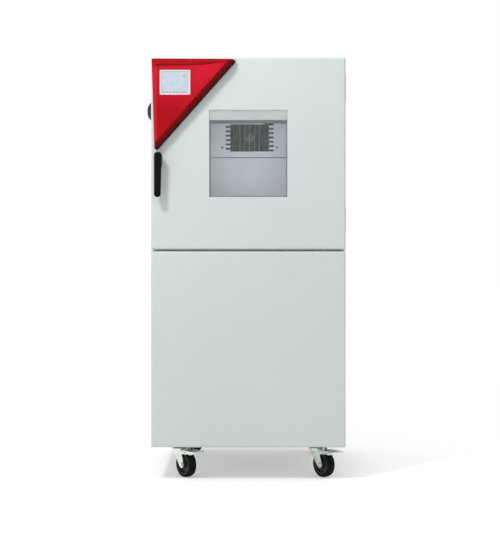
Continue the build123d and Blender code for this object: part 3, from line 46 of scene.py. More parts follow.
# The camera stands 5.6 m in front of the door at about chest height, a little to
# the right of the machine, and looks level along +Y. The shift frames the machine
# as a view camera does, so its uprights stay parallel.
door_front_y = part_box("door_shell")[0].y
camera_right = 0.070
camera_distance = 5.600
camera_height = 1.050
lens_data = bpy.data.cameras.new("front_view")
lens_data.lens = 98.27
lens_data.sensor_width = 36.0
lens_data.shift_x = -0.0310
lens_data.shift_y = -0.1204
lens_data.clip_end = 100.0
front_view = bpy.data.objects.new("front_view", lens_data)
scene.collection.objects.link(front_view)
front_view.location = (camera_right, door_front_y - camera_distance, camera_height)
front_view.rotation_euler = (math.radians(90), 0, 0)
scene.camera = front_view

# The studio: a white floor under a white sky, and one key light from the upper left
# that throws the housing's soft shadow down to the right. The floor glows a little,
# and less so under the machine, which paints a pool of shade there.
scene.view_settings.view_transform = "Standard"
scene.view_settings.look = "None"
sky = bpy.data.worlds.new("white_studio")
sky.use_nodes = True
sky.node_tree.nodes["Background"].inputs["Color"].default_value = (1.0, 1.0, 1.0, 1.0)
sky.node_tree.nodes["Background"].inputs["Strength"].default_value = 1.0
scene.world = sky


def studio_light(name, place, aim, size, power):
    """Square soft light that points from one place at another."""
    lamp = bpy.data.lights.new(name, "AREA")
    lamp.size = size
    lamp.energy = power
    holder = bpy.data.objects.new(name, lamp)
    holder.location = place
    holder.rotation_euler = (Vector(aim) - Vector(place)).to_track_quat("-Z", "Y").to_euler()
    scene.collection.objects.link(holder)
    return holder


key_place = (-1.2, -1.9, 2.95)
key_aim = (0.0, -0.3, 1.3)
key_size = 0.4
key_power = 52.0
studio_light("key", key_place, key_aim, key_size, key_power)


def floor_mesh(half_width):
    """Large square floor, its middle under the machine."""
    shape = bmesh.new()
    bmesh.ops.create_grid(shape, x_segments=1, y_segments=1, size=half_width)
    mesh = bpy.data.meshes.new("studio_floor")
    shape.to_mesh(mesh)
    shape.free()
    return mesh


floor_half_width = 12.0
glow_in_the_open = 0.38
glow_in_painted_shade = 0.29
studio_floor = bpy.data.objects.new("studio_floor", floor_mesh(floor_half_width))
scene.collection.objects.link(studio_floor)
floor_paint = bpy.data.materials.new("floor_paint")
floor_paint.use_nodes = True
floor_shader = floor_paint.node_tree.nodes["Principled BSDF"]
floor_shader.inputs["Base Color"].default_value = (0.66, 0.66, 0.66, 1.0)
floor_shader.inputs["Emission Color"].default_value = (1.0, 1.0, 1.0, 1.0)
floor_shader.inputs["Roughness"].default_value = 0.9
floor_shader.inputs["Specular IOR Level"].default_value = 0.0
floor_place = floor_paint.node_tree.nodes.new("ShaderNodeTexCoord")
floor_size = floor_paint.node_tree.nodes.new("ShaderNodeMapping")
floor_size.inputs["Location"].default_value = (0.02, 0.05, 0.0)
floor_size.inputs["Scale"].default_value = (1.75, 1.42, 0.0)
# Painted shade: the floor's glow drops in a soft oval round the machine.
floor_round = floor_paint.node_tree.nodes.new("ShaderNodeTexGradient")
floor_round.gradient_type = "SPHERICAL"
floor_glow = floor_paint.node_tree.nodes.new("ShaderNodeMapRange")
floor_glow.interpolation_type = "SMOOTHSTEP"
floor_glow.inputs["From Max"].default_value = 0.42
floor_glow.inputs["To Min"].default_value = glow_in_the_open
floor_glow.inputs["To Max"].default_value = glow_in_painted_shade
for source, target in (
        (floor_place.outputs["Object"], floor_size.inputs["Vector"]),
        (floor_size.outputs["Vector"], floor_round.inputs["Vector"]),
        (floor_round.outputs["Fac"], floor_glow.inputs["Value"]),
        (floor_glow.outputs["Result"], floor_shader.inputs["Emission Strength"])):
    floor_paint.node_tree.links.new(source, target)
studio_floor.data.materials.append(floor_paint)

# Cabinet panels and door skin: folded steel sheet with a pale grey powder coat,
# which has a fine orange-peel surface and very slight clouds in its colour. Each
# panel is a CAD node that keeps its mesh.


def new_finish(name):
    """Material with its shader and node tree."""
    finish = bpy.data.materials.new(name)
    finish.use_nodes = True
    return finish, finish.node_tree, finish.node_tree.nodes["Principled BSDF"]


def clouds(tree, scale, detail=2.0, stretch=(1.0, 1.0, 1.0), turn=(0.0, 0.0, 0.0)):
    """Noise over the piece's own coordinates, which can be drawn out and turned."""
    place = tree.nodes.new("ShaderNodeTexCoord")
    mapping = tree.nodes.new("ShaderNodeMapping")
    mapping.inputs["Rotation"].default_value = turn
    mapping.inputs["Scale"].default_value = stretch
    texture = tree.nodes.new("ShaderNodeTexNoise")
    texture.inputs["Scale"].default_value = scale
    texture.inputs["Detail"].default_value = detail
    tree.links.new(place.outputs["Object"], mapping.inputs["Vector"])
    tree.links.new(mapping.outputs["Vector"], texture.inputs["Vector"])
    return texture.outputs["Fac"]


def shade(tree, value, low, high, start=0.3, end=0.7):
    """Colour that runs from low to high with a value."""
    ramp = tree.nodes.new("ShaderNodeValToRGB")
    ramp.color_ramp.elements[0].position = start
    ramp.color_ramp.elements[1].position = end
    ramp.color_ramp.elements[0].color = (*low, 1.0)
    ramp.color_ramp.elements[1].color = (*high, 1.0)
    tree.links.new(value, ramp.inputs["Fac"])
    return ramp.outputs["Color"]


def span(tree, value, low, high, start=0.3, end=0.7):
    """Number that runs from low to high with a value."""
    run = tree.nodes.new("ShaderNodeMapRange")
    run.inputs["From Min"].default_value = start
    run.inputs["From Max"].default_value = end
    run.inputs["To Min"].default_value = low
    run.inputs["To Max"].default_value = high
    tree.links.new(value, run.inputs["Value"])
    return run.outputs["Result"]


def relief(tree, shader, height, strength, depth):
    """Bump on the shader from a height, in metres of depth."""
    bump = tree.nodes.new("ShaderNodeBump")
    bump.inputs["Strength"].default_value = strength
    bump.inputs["Distance"].default_value = depth
    tree.links.new(height, bump.inputs["Height"])
    tree.links.new(bump.outputs["Normal"], shader.inputs["Normal"])


def dress(finish, *names):
    """Give a finish to CAD nodes."""
    for name in names:
        for place in parts[name].material_slots:
            place.material = finish


def powder_coat(name, low, high):
    """Powder-coated sheet: clouded colour, orange peel, satin gloss."""
    finish, tree, shader = new_finish(name)
    tree.links.new(shade(tree, clouds(tree, 2.2, 3.0), low, high), shader.inputs["Base Color"])
    tree.links.new(span(tree, clouds(tree, 60.0, 2.0), 0.36, 0.46), shader.inputs["Roughness"])
    shader.inputs["Specular IOR Level"].default_value = 0.3
    relief(tree, shader, clouds(tree, 700.0, 1.0), 0.06, 0.0004)
    return finish


cabinet_paint = powder_coat("cabinet_paint", (0.430, 0.470, 0.466), (0.446, 0.486, 0.484))
dress(
    cabinet_paint, "side_panel_left", "side_panel_right", "top_panel", "rear_panel_upper",
    "rear_panel_lower", "lower_front_panel", "door_shell")


def piece(name, shape, finish, body, smooth=None):
    """Object from a finished bmesh, riding on a body; edges under the smooth angle are rounded in shading."""
    mesh = bpy.data.meshes.new(name)
    bmesh.ops.recalc_face_normals(shape, faces=shape.faces)
    shape.to_mesh(mesh)
    shape.free()
    mesh.materials.append(finish)
    made = bpy.data.objects.new(name, mesh)
    scene.collection.objects.link(made)
    if smooth is not None:
        mesh.shade_smooth()
        mesh.set_sharp_from_angle(angle=math.radians(smooth))
    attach(made, body)
    return made


# Panel screws: zinc-plated pan heads with a sunk middle, along the edges of the two
# rear panels, which they hold to the cabinet.


def plated(name, low, high, rough_low, rough_high, grain=40.0):
    """Bright metal with slightly cloudy plating."""
    finish, tree, shader = new_finish(name)
    shader.inputs["Metallic"].default_value = 1.0
    tree.links.new(shade(tree, clouds(tree, grain, 4.0), low, high), shader.inputs["Base Color"])
    dullness = span(tree, clouds(tree, grain * 4.0, 3.0), rough_low, rough_high)
    tree.links.new(dullness, shader.inputs["Roughness"])
    relief(tree, shader, clouds(tree, grain * 12.0, 2.0), 0.10, 0.0003)
    return finish


screw_plating = plated("screw_plating", (0.52, 0.53, 0.54), (0.70, 0.71, 0.72), 0.25, 0.45)
screw_radius = 0.0042
screw_rise = 0.0024


def screw_head(shape, place, outward):
    """Pan head with a sunk middle, standing on a panel at a place."""
    turn = Vector((0, 0, 1)).rotation_difference(Vector(outward)).to_matrix().to_4x4()
    sit = Matrix.Translation(place) @ turn
    made = bmesh.ops.create_cone(
        shape, cap_ends=True, segments=16, radius1=screw_radius, radius2=screw_radius * 0.72,
        depth=screw_rise, matrix=sit @ Matrix.Translation((0, 0, screw_rise / 2)))
    faces = {face for vert in made["verts"] for face in vert.link_faces}
    top = max(faces, key=lambda face: face.calc_center_median() @ Vector(outward))
    bmesh.ops.inset_region(shape, faces=[top], thickness=screw_radius * 0.42)
    bmesh.ops.translate(shape, verts=top.verts, vec=Vector(outward) * -screw_rise * 0.5)


panel_screws = bmesh.new()
louvre_hood = 0.004
rear_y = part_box("rear_panel_upper")[1].y - louvre_hood
edge = 0.012
for panel_name in ("rear_panel_lower", "rear_panel_upper"):
    low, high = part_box(panel_name)
    for x in (low.x + edge, low.x / 2, 0.0, high.x / 2, high.x - edge):
        for z in (low.z + edge, high.z - edge):
            screw_head(panel_screws, Vector((x, rear_y, z)), (0, 1, 0))
    for x in (low.x + edge, high.x - edge):
        for step in (1 / 3, 2 / 3):
            screw_head(panel_screws, Vector((x, rear_y, low.z + (high.z - low.z) * step)), (0, 1, 0))
piece("panel_screws", panel_screws, screw_plating, "cabinet", smooth=40)

# Front frame and chamber: brushed stainless sheet. The face round the mouth is drawn
# across, the liner front to back, and the baffle and lower wall up and down.


def brushed(name, low, high, along, rough=0.30):
    """Stainless sheet with fine drawn lines along one axis and faint cloudy heat."""
    finish, tree, shader = new_finish(name)
    stretch = [1.0, 1.0, 1.0]
    stretch["xyz".index(along)] = 0.012
    shader.inputs["Metallic"].default_value = 1.0
    lines = clouds(tree, 900.0, 3.0, stretch)
    tree.links.new(shade(tree, clouds(tree, 5.0, 3.0), low, high), shader.inputs["Base Color"])
    tree.links.new(span(tree, lines, rough - 0.06, rough + 0.10), shader.inputs["Roughness"])
    relief(tree, shader, lines, 0.14, 0.0002)
    return finish


frame_steel = brushed("frame_steel", (0.56, 0.57, 0.58), (0.66, 0.67, 0.68), "x")
liner_steel = brushed("liner_steel", (0.60, 0.61, 0.63), (0.68, 0.69, 0.71), "y", 0.34)
wall_steel = brushed("wall_steel", (0.500, 0.525, 0.558), (0.575, 0.600, 0.633), "z", 0.46)
dress(frame_steel, "front_frame", "door_inner_panel", "window_frame")
dress(liner_steel, "chamber_liner")
dress(wall_steel, "air_baffle", "rear_wall_sheet")

# Chamber fittings: the welded wire guard and shelf, the tubular heater, which darkens
# with use, the finned evaporator, the probe and the dark metal fan. The condenser's
# coil and fan have the same finishes.
wire_plating = plated("wire_plating", (0.58, 0.59, 0.60), (0.78, 0.79, 0.80), 0.22, 0.36)
# The guard's plating is made far darker than the shelf's, as painted shade behind the baffle.
guard_plating_painted_shade = plated("guard_plating_painted_shade", (0.14, 0.16, 0.14), (0.27, 0.29, 0.26), 0.30, 0.45)
heater_sheath = plated("heater_sheath", (0.055, 0.052, 0.048), (0.14, 0.13, 0.11), 0.45, 0.65, 18.0)
fin_metal = plated("fin_metal", (0.60, 0.61, 0.62), (0.80, 0.81, 0.82), 0.38, 0.55, 25.0)
fan_metal = plated("fan_metal", (0.075, 0.083, 0.076), (0.160, 0.175, 0.150), 0.45, 0.65, 20.0)
dress(guard_plating_painted_shade, "fan_guard")
dress(wire_plating, "temperature_probe", "shelf")
dress(heater_sheath, "heater_coil")
dress(fin_metal, "evaporator_coil", "condenser_coil")
dress(fan_metal, "chamber_fan", "condenser_fan")

# Fan plate: a black sheet with round corners on the back wall behind the fan, put
# there as painted shade behind the baffle's slots. Two burnished screws hold the combed baffle.
baffle_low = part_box("air_baffle")[0]
fan_low, fan_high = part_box("chamber_fan")
shade_plate_black, plate_tree, plate_shader = new_finish("shade_plate_black")
plate_tree.links.new(
    shade(plate_tree, clouds(plate_tree, 14.0, 3.0), (0.010, 0.011, 0.010), (0.030, 0.034, 0.030)),
    plate_shader.inputs["Base Color"])
plate_tree.links.new(
    span(plate_tree, clouds(plate_tree, 60.0, 2.0), 0.45, 0.60), plate_shader.inputs["Roughness"])
plate_shader.inputs["Specular IOR Level"].default_value = 0.25
relief(plate_tree, plate_shader, clouds(plate_tree, 420.0, 2.0), 0.10, 0.0003)
plate_half_width = 0.125
plate_half_height = 0.078
plate_thickness = 0.001
plate_corner = 0.012
liner_sheet = 0.0015
plate_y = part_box("chamber_liner")[1].y - liner_sheet
plate_middle = Vector((0.0, plate_y - plate_thickness / 2, (fan_low.z + fan_high.z) / 2))
fan_shade_plate = bmesh.new()
made = bmesh.ops.create_cube(fan_shade_plate, size=1.0)
bmesh.ops.transform(
    fan_shade_plate, verts=made["verts"],
    matrix=Matrix.Translation(plate_middle)
    @ Matrix.Diagonal((2 * plate_half_width, plate_thickness, 2 * plate_half_height, 1.0)))
corner_edges = [
    e for e in fan_shade_plate.edges if abs((e.verts[0].co - e.verts[1].co).y) > plate_thickness / 2]
bmesh.ops.bevel(
    fan_shade_plate, geom=corner_edges, offset=plate_corner, affect="EDGES", segments=4, profile=0.5, material=-1)
piece("fan_shade_plate", fan_shade_plate, shade_plate_black, "cabinet", smooth=40)
burnished = plated("burnished", (0.06, 0.06, 0.07), (0.12, 0.12, 0.13), 0.35, 0.5)
screw_reach = 0.112
screw_level = 1.285
baffle_screws = bmesh.new()
for side in (-1, 1):
    seat = Vector((side * screw_reach, baffle_low.y + screw_rise / 2, screw_level))
    screw_head(baffle_screws, seat, (0, -1, 0))
piece("baffle_screws", baffle_screws, burnished, "cabinet", smooth=40)

# Insulation: poured polyurethane foam round the liner and in the door, pale yellow
# and slightly open in its cells.
foam_finish, foam_tree, foam_shader = new_finish("poured_foam")
foam_cells = foam_tree.nodes.new("ShaderNodeTexVoronoi")
foam_cells.inputs["Scale"].default_value = 420.0
foam_place = foam_tree.nodes.new("ShaderNodeTexCoord")
foam_tree.links.new(foam_place.outputs["Object"], foam_cells.inputs["Vector"])
foam_tree.links.new(
    shade(foam_tree, clouds(foam_tree, 12.0, 4.0), (0.62, 0.52, 0.30), (0.78, 0.70, 0.46)),
    foam_shader.inputs["Base Color"])
foam_shader.inputs["Roughness"].default_value = 0.85
relief(foam_tree, foam_shader, foam_cells.outputs["Distance"], 0.35, 0.0008)
dress(foam_finish, "chamber_insulation", "door_insulation")

# Window: clear glass panes in a steel sleeve. The outer one is bedded in a thin grey
# bead, and the grey spacers between the panes turn dark green under the lamp.
pane_glass, pane_tree, pane_shader = new_finish("pane_glass")
pane_clear = pane_tree.nodes.new("ShaderNodeBsdfTransparent")
pane_clear.inputs["Color"].default_value = (0.972, 0.978, 0.980, 1.0)
pane_gloss = pane_tree.nodes.new("ShaderNodeBsdfGlossy")
pane_gloss.inputs["Color"].default_value = (0.9, 0.95, 0.95, 1.0)
pane_gloss.inputs["Roughness"].default_value = 0.03
pane_edge = pane_tree.nodes.new("ShaderNodeFresnel")
pane_edge.inputs["IOR"].default_value = 1.35
pane_mix = pane_tree.nodes.new("ShaderNodeMixShader")
pane_out = pane_tree.nodes["Material Output"]
pane_tree.links.new(pane_edge.outputs["Fac"], pane_mix.inputs["Fac"])
pane_tree.links.new(pane_clear.outputs["BSDF"], pane_mix.inputs[1])
pane_tree.links.new(pane_gloss.outputs["BSDF"], pane_mix.inputs[2])
pane_tree.links.new(pane_mix.outputs["Shader"], pane_out.inputs["Surface"])
dress(pane_glass, "outer_pane", "inner_pane")


def moulded(name, low, high, rough, grain=600.0, depth=0.0003, gloss=0.2):
    """Moulded plastic or rubber with an eroded grain."""
    finish, tree, shader = new_finish(name)
    tree.links.new(shade(tree, clouds(tree, 6.0, 3.0), low, high), shader.inputs["Base Color"])
    dullness = span(tree, clouds(tree, 45.0, 2.0), rough - 0.04, rough + 0.06)
    tree.links.new(dullness, shader.inputs["Roughness"])
    shader.inputs["Specular IOR Level"].default_value = gloss
    relief(tree, shader, clouds(tree, grain, 2.0), 0.12, depth)
    return finish


bead_grey = moulded("bead_grey", (0.42, 0.45, 0.45), (0.48, 0.51, 0.51), 0.5)


def along(tree, direction):
    """Distance along a direction in the piece's own coordinates."""
    place = tree.nodes.new("ShaderNodeTexCoord")
    product = tree.nodes.new("ShaderNodeVectorMath")
    product.operation = "DOT_PRODUCT"
    product.inputs[1].default_value = direction
    tree.links.new(place.outputs["Object"], product.inputs[0])
    return product.outputs["Value"]


def blend(tree, share, first, second):
    """One colour that gives way to another as the share goes to one."""
    mix = tree.nodes.new("ShaderNodeMix")
    mix.data_type = "RGBA"
    for socket, source in (("Factor", share), (6, first), (7, second)):
        if isinstance(source, tuple):
            mix.inputs[socket].default_value = (*source, 1.0)
        else:
            tree.links.new(source, mix.inputs[socket])
    return mix.outputs[2]


shade_green, shade_tree, shade_shader = new_finish("shade_green")
strip_drop = 0.01325
strip_soft = 0.00075
strip_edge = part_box("window_lamp")[0].z - strip_drop
rise = along(shade_tree, (0.0, 0.0, 1.0))
shade_share = span(shade_tree, rise, 0.0, 1.0, strip_edge - strip_soft, strip_edge + strip_soft)
spacer_grey = shade(shade_tree, clouds(shade_tree, 20.0, 2.0), (0.40, 0.42, 0.44), (0.46, 0.48, 0.50))
strip_green = shade(shade_tree, clouds(shade_tree, 9.0, 2.0), (0.20, 0.23, 0.22), (0.28, 0.31, 0.29))
strip_mix = blend(shade_tree, shade_share, spacer_grey, strip_green)
shade_tree.links.new(strip_mix, shade_shader.inputs["Base Color"])
shade_shader.inputs["Roughness"].default_value = 0.5
relief(shade_tree, shade_shader, clouds(shade_tree, 500.0, 2.0), 0.12, 0.0003)
dress(shade_green, "window_seal")


def frame_ring(shape, low, high, y_front, y_back, width):
    """Flat rectangular ring in x and z, with a thickness in y."""
    made = bmesh.ops.create_grid(shape, x_segments=1, y_segments=1, size=0.5)
    middle = (low + high) / 2
    stand = Matrix.Rotation(math.radians(90), 4, "X")
    size = Matrix.Diagonal((high.x - low.x, high.z - low.z, 1.0, 1.0))
    bmesh.ops.transform(
        shape, verts=made["verts"], matrix=Matrix.Translation((middle.x, y_front, middle.z)) @ stand @ size)
    face = made["verts"][0].link_faces[0]
    ring = bmesh.ops.inset_region(shape, faces=[face], thickness=width, use_boundary=True)["faces"]
    bmesh.ops.delete(shape, geom=[face], context="FACES_ONLY")
    wall = bmesh.ops.extrude_face_region(shape, geom=ring)
    verts = [g for g in wall["geom"] if isinstance(g, bmesh.types.BMVert)]
    bmesh.ops.translate(shape, verts=verts, vec=(0, y_back - y_front, 0))


pane_low, pane_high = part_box("outer_pane")
bead = bmesh.new()
bead_width = 0.0014
bead_rise = 0.0007
frame_ring(bead, pane_low, pane_high, pane_low.y - bead_rise, pane_low.y, bead_width)
piece("pane_bead", bead, bead_grey, "door")

# Door gasket: a silicone bellows strip with a flat foot in the groove of the inner
# skin, moulded in one ring with round corners. It closes on the front frame.
gasket_grey = moulded("gasket_grey", (0.16, 0.17, 0.18), (0.22, 0.23, 0.24), 0.55, 300.0)
gasket_low, gasket_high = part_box("door_gasket")
gasket_corner = 0.012
foot_width = 0.016
gasket_foot = [
    (0.0000, 0.0000), (0.0160, 0.0000), (0.0160, 0.0026), (0.0132, 0.0040), (0.0148, 0.0062),
    (0.0142, 0.0090), (0.0112, 0.0116), (0.0048, 0.0116), (0.0018, 0.0090), (0.0012, 0.0062),
    (0.0028, 0.0040), (0.0000, 0.0026)]


def carried_ring(shape, profile, middle, half_width, half_height, corner, steps):
    """Closed profile of (outward, y) points, carried round a rectangle with round corners."""
    start = Vector((middle.x - half_width + corner, middle.y, middle.z - half_height))
    verts = [shape.verts.new(start + Vector((0, y, -out))) for out, y in profile]
    last = [shape.edges.new((verts[n], verts[(n + 1) % len(verts)])) for n in range(len(verts))]
    run_x, run_z = 2 * (half_width - corner), 2 * (half_height - corner)
    turn_x, turn_z = half_width - corner, half_height - corner
    sides = [
        ((run_x, 0, 0), (turn_x, -turn_z)), ((0, 0, run_z), (turn_x, turn_z)),
        ((-run_x, 0, 0), (-turn_x, turn_z)), ((0, 0, -run_z), (-turn_x, -turn_z))]
    for run, (x, z) in sides:
        moved = bmesh.ops.extrude_edge_only(shape, edges=last)["geom"]
        bmesh.ops.translate(shape, verts=[g for g in moved if isinstance(g, bmesh.types.BMVert)], vec=run)
        ends = [g for g in moved if isinstance(g, bmesh.types.BMEdge) and all(
            v in moved for v in g.verts)]
        turned_on = bmesh.ops.spin(
            shape, geom=ends + list({v for edge in ends for v in edge.verts}),
            cent=(middle.x + x, middle.y, middle.z + z), axis=(0, 1, 0), angle=math.radians(-90), steps=steps)
        last = [g for g in turned_on["geom_last"] if isinstance(g, bmesh.types.BMEdge)]
    bmesh.ops.remove_doubles(shape, verts=shape.verts, dist=1e-5)


gasket = bmesh.new()
gasket_middle = (gasket_low + gasket_high) / 2
gasket_middle.y = gasket_low.y
carried_ring(
    gasket, gasket_foot, gasket_middle, (gasket_high.x - gasket_low.x) / 2 - foot_width,
    (gasket_high.z - gasket_low.z) / 2 - foot_width, gasket_corner, 8)
gasket_piece = piece("gasket_bellows", gasket, gasket_grey, "door", smooth=50)
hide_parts("door_gasket")

# Lamp: a light bar behind the top of the outer pane. Its diffuser glows a little,
# and a soft light just inside the chamber's mouth stands for what it throws.
lamp_finish, lamp_tree, lamp_shader = new_finish("lamp_diffuser")
lamp_tree.links.new(
    shade(lamp_tree, clouds(lamp_tree, 14.0, 2.0), (0.68, 0.72, 0.70), (0.74, 0.78, 0.77)),
    lamp_shader.inputs["Base Color"])
lamp_shader.inputs["Roughness"].default_value = 0.4
lamp_shader.inputs["Emission Color"].default_value = (0.95, 1.0, 0.99, 1.0)
lamp_shader.inputs["Emission Strength"].default_value = 0.08
dress(lamp_finish, "window_lamp")
lamp_place = (0.0, -0.285, 1.245)
lamp_aim = (0.0, 0.060, 1.245)
lamp_size = 0.34
lamp_power = 0.55
studio_light("chamber_lamp", lamp_place, lamp_aim, lamp_size, lamp_power)

# Door furniture: hinge leaves and port sleeve in satin stainless steel, and the
# zinc-plated latch hook with its strike.
hinge_steel = brushed("hinge_steel", (0.50, 0.51, 0.52), (0.62, 0.63, 0.64), "z", 0.32)
latch_plating = plated("latch_plating", (0.50, 0.51, 0.52), (0.70, 0.71, 0.72), 0.28, 0.42)
dress(hinge_steel, "door_hinges", "cabinet_hinges", "access_port_sleeve")
dress(latch_plating, "latch_hook", "latch_strike")

# Handle: glass-filled black nylon with a fine spark-eroded grain. The lever turns
# in its base, which is moulded from the same nylon.
handle_black = moulded(
    "handle_black", (0.003, 0.003, 0.0025), (0.006, 0.006, 0.005), 0.42, 900.0, 0.0004, 0.04)
dress(handle_black, "handle_lever", "handle_mount")

# Control housing: moulded red ABS with a satin face, a wide slanted bevel and a
# groove under its top band. Light and shade are painted into its red: the face is
# lighter towards its top, the left band lighter and the top band darker, and the
# bevel a deeper red that darkens almost to black at its outer edge as painted shade.
# The moulding's edges are slightly rounded.
housing_red_and_painted_shade, housing_tree, housing_shader = new_finish("housing_red_and_painted_shade")
housing_low, housing_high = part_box("control_housing")
housing_shader.inputs["Roughness"].default_value = 0.38
housing_shader.inputs["Specular IOR Level"].default_value = 0.04
slant_out = Vector((0.7471, 0.0, -0.6646))
slant_foot = Vector((housing_low.x + 0.011, 0.0, housing_high.z - 0.359))
slant_edge = slant_foot @ slant_out
bevel_reach = 0.0235
left_band = 0.022
top_band = 0.028
groove_rise = 0.06
groove_middle = -0.26
colour_soft = 0.001
band_x = housing_low.x + left_band
band_z = housing_high.z - top_band - groove_rise * groove_middle
bevel_start = slant_edge - bevel_reach
# Painted light and shade: the face's red runs from dark at its foot to light at its top.
height = along(housing_tree, (0.25, 0.0, 1.0))
face_red_and_painted_light = shade(
    housing_tree, span(housing_tree, height, 0.0, 1.0, housing_low.z + 0.06, housing_high.z - 0.10),
    (0.255, 0.0022, 0.0060), (0.385, 0.0070, 0.0180), 0.0, 1.0)
cloud_share = span(housing_tree, clouds(housing_tree, 9.0, 3.0), 0.0, 0.5)
face_red_and_painted_light = blend(housing_tree, cloud_share, face_red_and_painted_light, (0.315, 0.0040, 0.0105))
# Painted light: a lighter red on the band along the left edge.
leftward = along(housing_tree, (-1.0, 0.0, 0.0))
left_band_painted_light = span(housing_tree, leftward, 0.0, 1.0, -band_x - colour_soft, -band_x + colour_soft)
face_red_and_painted_light = blend(housing_tree, left_band_painted_light, face_red_and_painted_light, (0.345, 0.0100, 0.0200))
# Painted shade: a darker red on the top band, above the groove's line.
upward = along(housing_tree, (-groove_rise, 0.0, 1.0))
top_band_painted_shade = span(housing_tree, upward, 0.0, 1.0, band_z - colour_soft, band_z + colour_soft)
face_red_and_painted_light = blend(housing_tree, top_band_painted_shade, face_red_and_painted_light, (0.255, 0.0050, 0.0070))
# Painted shade: the bevel is a deeper red that darkens almost to black towards its outer edge.
slant = along(housing_tree, slant_out)
bevel_shade_share = span(housing_tree, slant, 0.0, 1.0, bevel_start - colour_soft, bevel_start + colour_soft)
bevel_shade_fade = span(housing_tree, slant, 0.0, 1.0, bevel_start, slant_edge - 2 * colour_soft)
bevel_painted_shade = shade(housing_tree, bevel_shade_fade, (0.200, 0.0015, 0.0035), (0.030, 0.0040, 0.0025), 0.15, 0.95)
housing_colour_and_shade = blend(housing_tree, bevel_shade_share, face_red_and_painted_light, bevel_painted_shade)
housing_tree.links.new(housing_colour_and_shade, housing_shader.inputs["Base Color"])
relief(housing_tree, housing_shader, clouds(housing_tree, 800.0, 1.0), 0.05, 0.0003)


def softened(name, node, finish, body, width):
    """Copy of a CAD node with its sharp edges rounded, standing in its place."""
    shape = bmesh.new()
    shape.from_mesh(parts[node].data)
    bmesh.ops.remove_doubles(shape, verts=shape.verts, dist=1e-6)
    bmesh.ops.dissolve_limit(
        shape, angle_limit=math.radians(0.6), verts=shape.verts, edges=shape.edges)
    sharp = [
        e for e in shape.edges
        if len(e.link_faces) == 2 and e.calc_face_angle(0.0) > math.radians(35)
        and e.calc_length() > 2 * width]
    bmesh.ops.bevel(
        shape, geom=sharp, offset=width, offset_type="OFFSET", affect="EDGES", segments=2, profile=0.5,
        material=-1, clamp_overlap=True)
    made = piece(name, shape, finish, body, smooth=30)
    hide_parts(node)
    return made


edge_round = 0.0010
softened("housing_shell", "control_housing", housing_red_and_painted_shade, "door", edge_round)

# Display: a pale bezel round a backlit screen. The screen shows only a small dot
# and a row of plain dashes.
bezel_pale = moulded("bezel_pale", (0.58, 0.47, 0.48), (0.63, 0.52, 0.53), 0.35)
dress(bezel_pale, "display_bezel")
screen_finish, screen_tree, screen_shader = new_finish("screen_glow")
screen_tree.links.new(
    shade(screen_tree, clouds(screen_tree, 60.0, 3.0), (0.29, 0.36, 0.43), (0.37, 0.40, 0.42)),
    screen_shader.inputs["Base Color"])
screen_shader.inputs["Roughness"].default_value = 0.18
screen_shader.inputs["Emission Color"].default_value = (0.75, 0.88, 0.95, 1.0)
screen_shader.inputs["Specular IOR Level"].default_value = 0.15
screen_shader.inputs["Emission Strength"].default_value = 0.05
dress(screen_finish, "display_screen")

mark_dark = moulded("mark_dark", (0.16, 0.18, 0.20), (0.20, 0.22, 0.24), 0.4)
bezel_low, bezel_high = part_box("display_bezel")
mark_thickness = 0.0002
mark_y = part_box("display_screen")[0].y - mark_thickness / 2
dashes = 8
dash_pitch = 0.0118
dash_length = 0.0070
dash_height = 0.0040
first_dash = (0.0175, 0.0105)
dot_radius = 0.0028
dot_inset = 0.0245
marks = bmesh.new()
for step in range(dashes):
    place = (bezel_low.x + first_dash[0] + step * dash_pitch, mark_y, bezel_low.z + first_dash[1])
    made = bmesh.ops.create_cube(marks, size=1.0)
    bmesh.ops.transform(
        marks, verts=made["verts"],
        matrix=Matrix.Translation(place) @ Matrix.Diagonal((dash_length, mark_thickness, dash_height, 1.0)))
bmesh.ops.create_cone(
    marks, cap_ends=True, segments=20, radius1=dot_radius, radius2=dot_radius, depth=mark_thickness,
    matrix=Matrix.Translation((bezel_high.x - dot_inset, mark_y, bezel_high.z - dot_inset))
    @ Matrix.Rotation(math.radians(90), 4, "X"))
piece("screen_marks", marks, mark_dark, "door")

# Access port plug: a soft black rubber stopper with a thick domed cap, pushed into
# the port by hand.
plug_rubber = moulded("plug_rubber", (0.012, 0.012, 0.012), (0.028, 0.028, 0.028), 0.6, 500.0)
dress(plug_rubber, "port_plug")

# Casters: zinc-plated pressed forks, plates and pedals, the plates being duller, and darker as painted shade
# under the cabinet.
# The base frame and the machine deck are of the same zinc-plated steel.
caster_zinc = plated("caster_zinc", (0.48, 0.52, 0.48), (0.78, 0.82, 0.78), 0.22, 0.40, 30.0)
plate_zinc_painted_shade = plated("plate_zinc_painted_shade", (0.14, 0.15, 0.14), (0.30, 0.32, 0.30), 0.35, 0.55, 30.0)
corners = ("fl", "fr", "rl", "rr")
dress(plate_zinc_painted_shade, "caster_plates")
dress(caster_zinc, *(f"caster_fork_{corner}" for corner in corners))
dress(caster_zinc, "brake_pedal_fl", "brake_pedal_fr", "base_frame", "machine_deck")

# Wheels: a black rubber tyre with a rounded tread and a raised running band, on a
# dark nylon hub with a thin web. They are turned shapes, spun round the axle and put
# in place of the plain CAD wheels.
tyre_rubber = moulded("tyre_rubber", (0.003, 0.003, 0.003), (0.008, 0.009, 0.008), 0.62, 350.0, gloss=0.05)
hub_nylon = moulded("hub_nylon", (0.020, 0.022, 0.020), (0.042, 0.046, 0.042), 0.42, 500.0)
axle_heading = math.radians(38.0)
axle_line = Vector((math.cos(axle_heading), math.sin(axle_heading), 0.0))


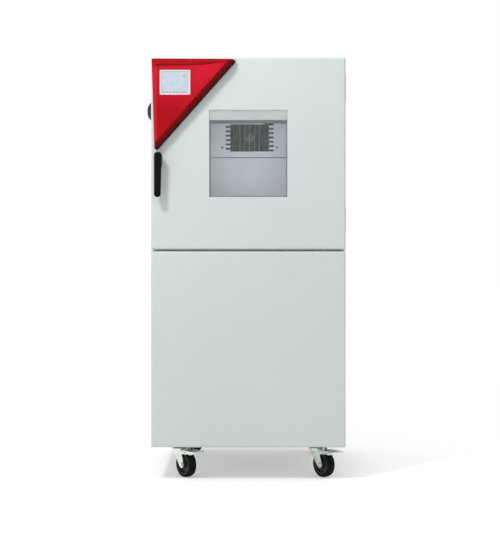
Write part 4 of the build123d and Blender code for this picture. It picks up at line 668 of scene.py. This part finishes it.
def turned(shape, profile, centre, steps):
    """Closed profile of (radius, along the axle) points, spun round the wheel's axle."""
    verts = [shape.verts.new((radius, along, 0.0)) for radius, along in profile]
    edges = [shape.edges.new((verts[n], verts[(n + 1) % len(verts)])) for n in range(len(verts))]
    bmesh.ops.spin(
        shape, geom=verts + edges, cent=(0, 0, 0), axis=(0, 1, 0), angle=math.radians(360),
        steps=steps, use_merge=True)
    bmesh.ops.remove_doubles(shape, verts=shape.verts, dist=1e-6)
    upright = Vector((0, 1, 0)).rotation_difference(axle_line).to_matrix().to_4x4()
    bmesh.ops.transform(shape, verts=shape.verts, matrix=Matrix.Translation(centre) @ upright)


tyre_profile = [
    (0.0380, -0.0155), (0.0450, -0.0160), (0.0482, -0.0140), (0.0494, -0.0100), (0.0496, -0.0050),
    (0.0500, -0.0045), (0.0500, 0.0045), (0.0496, 0.0050), (0.0494, 0.0100), (0.0482, 0.0140),
    (0.0450, 0.0160), (0.0380, 0.0155)]
hub_profile = [
    (0.0052, -0.0188), (0.0130, -0.0188), (0.0140, -0.0178), (0.0145, -0.0050), (0.0330, -0.0042),
    (0.0345, -0.0150), (0.0380, -0.0152), (0.0380, 0.0152), (0.0345, 0.0150), (0.0330, 0.0042),
    (0.0145, 0.0050), (0.0140, 0.0178), (0.0130, 0.0188), (0.0052, 0.0188)]
tyre_steps = 64
hub_steps = 48
for corner in corners:
    low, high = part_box(f"caster_wheel_{corner}")
    centre = (low + high) / 2
    tyre = bmesh.new()
    turned(tyre, tyre_profile, centre, tyre_steps)
    hub = bmesh.new()
    turned(hub, hub_profile, centre, hub_steps)
    tyre_piece = piece(f"tyre_{corner}", tyre, tyre_rubber, f"wheel_{corner}", smooth=35)
    piece(f"hub_{corner}", hub, hub_nylon, f"wheel_{corner}", smooth=35)
    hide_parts(f"caster_wheel_{corner}")

# Cooling machine and electrics: black stove enamel, bent copper tube, a grey box
# and the black fittings on the back.
machine_black = powder_coat("machine_black", (0.012, 0.013, 0.014), (0.020, 0.021, 0.022))
copper = plated("copper", (0.55, 0.24, 0.14), (0.72, 0.38, 0.24), 0.22, 0.40)
box_grey = moulded("box_grey", (0.26, 0.27, 0.28), (0.31, 0.32, 0.33), 0.5)
fitting_black = moulded("fitting_black", (0.012, 0.013, 0.013), (0.024, 0.025, 0.025), 0.45)
dress(machine_black, "compressor", "condenser_shroud", "chamber_fan_motor")
dress(copper, "refrigerant_lines")
dress(box_grey, "electrical_box")
dress(fitting_black, "power_inlet", "power_rocker", "drain_nozzle")
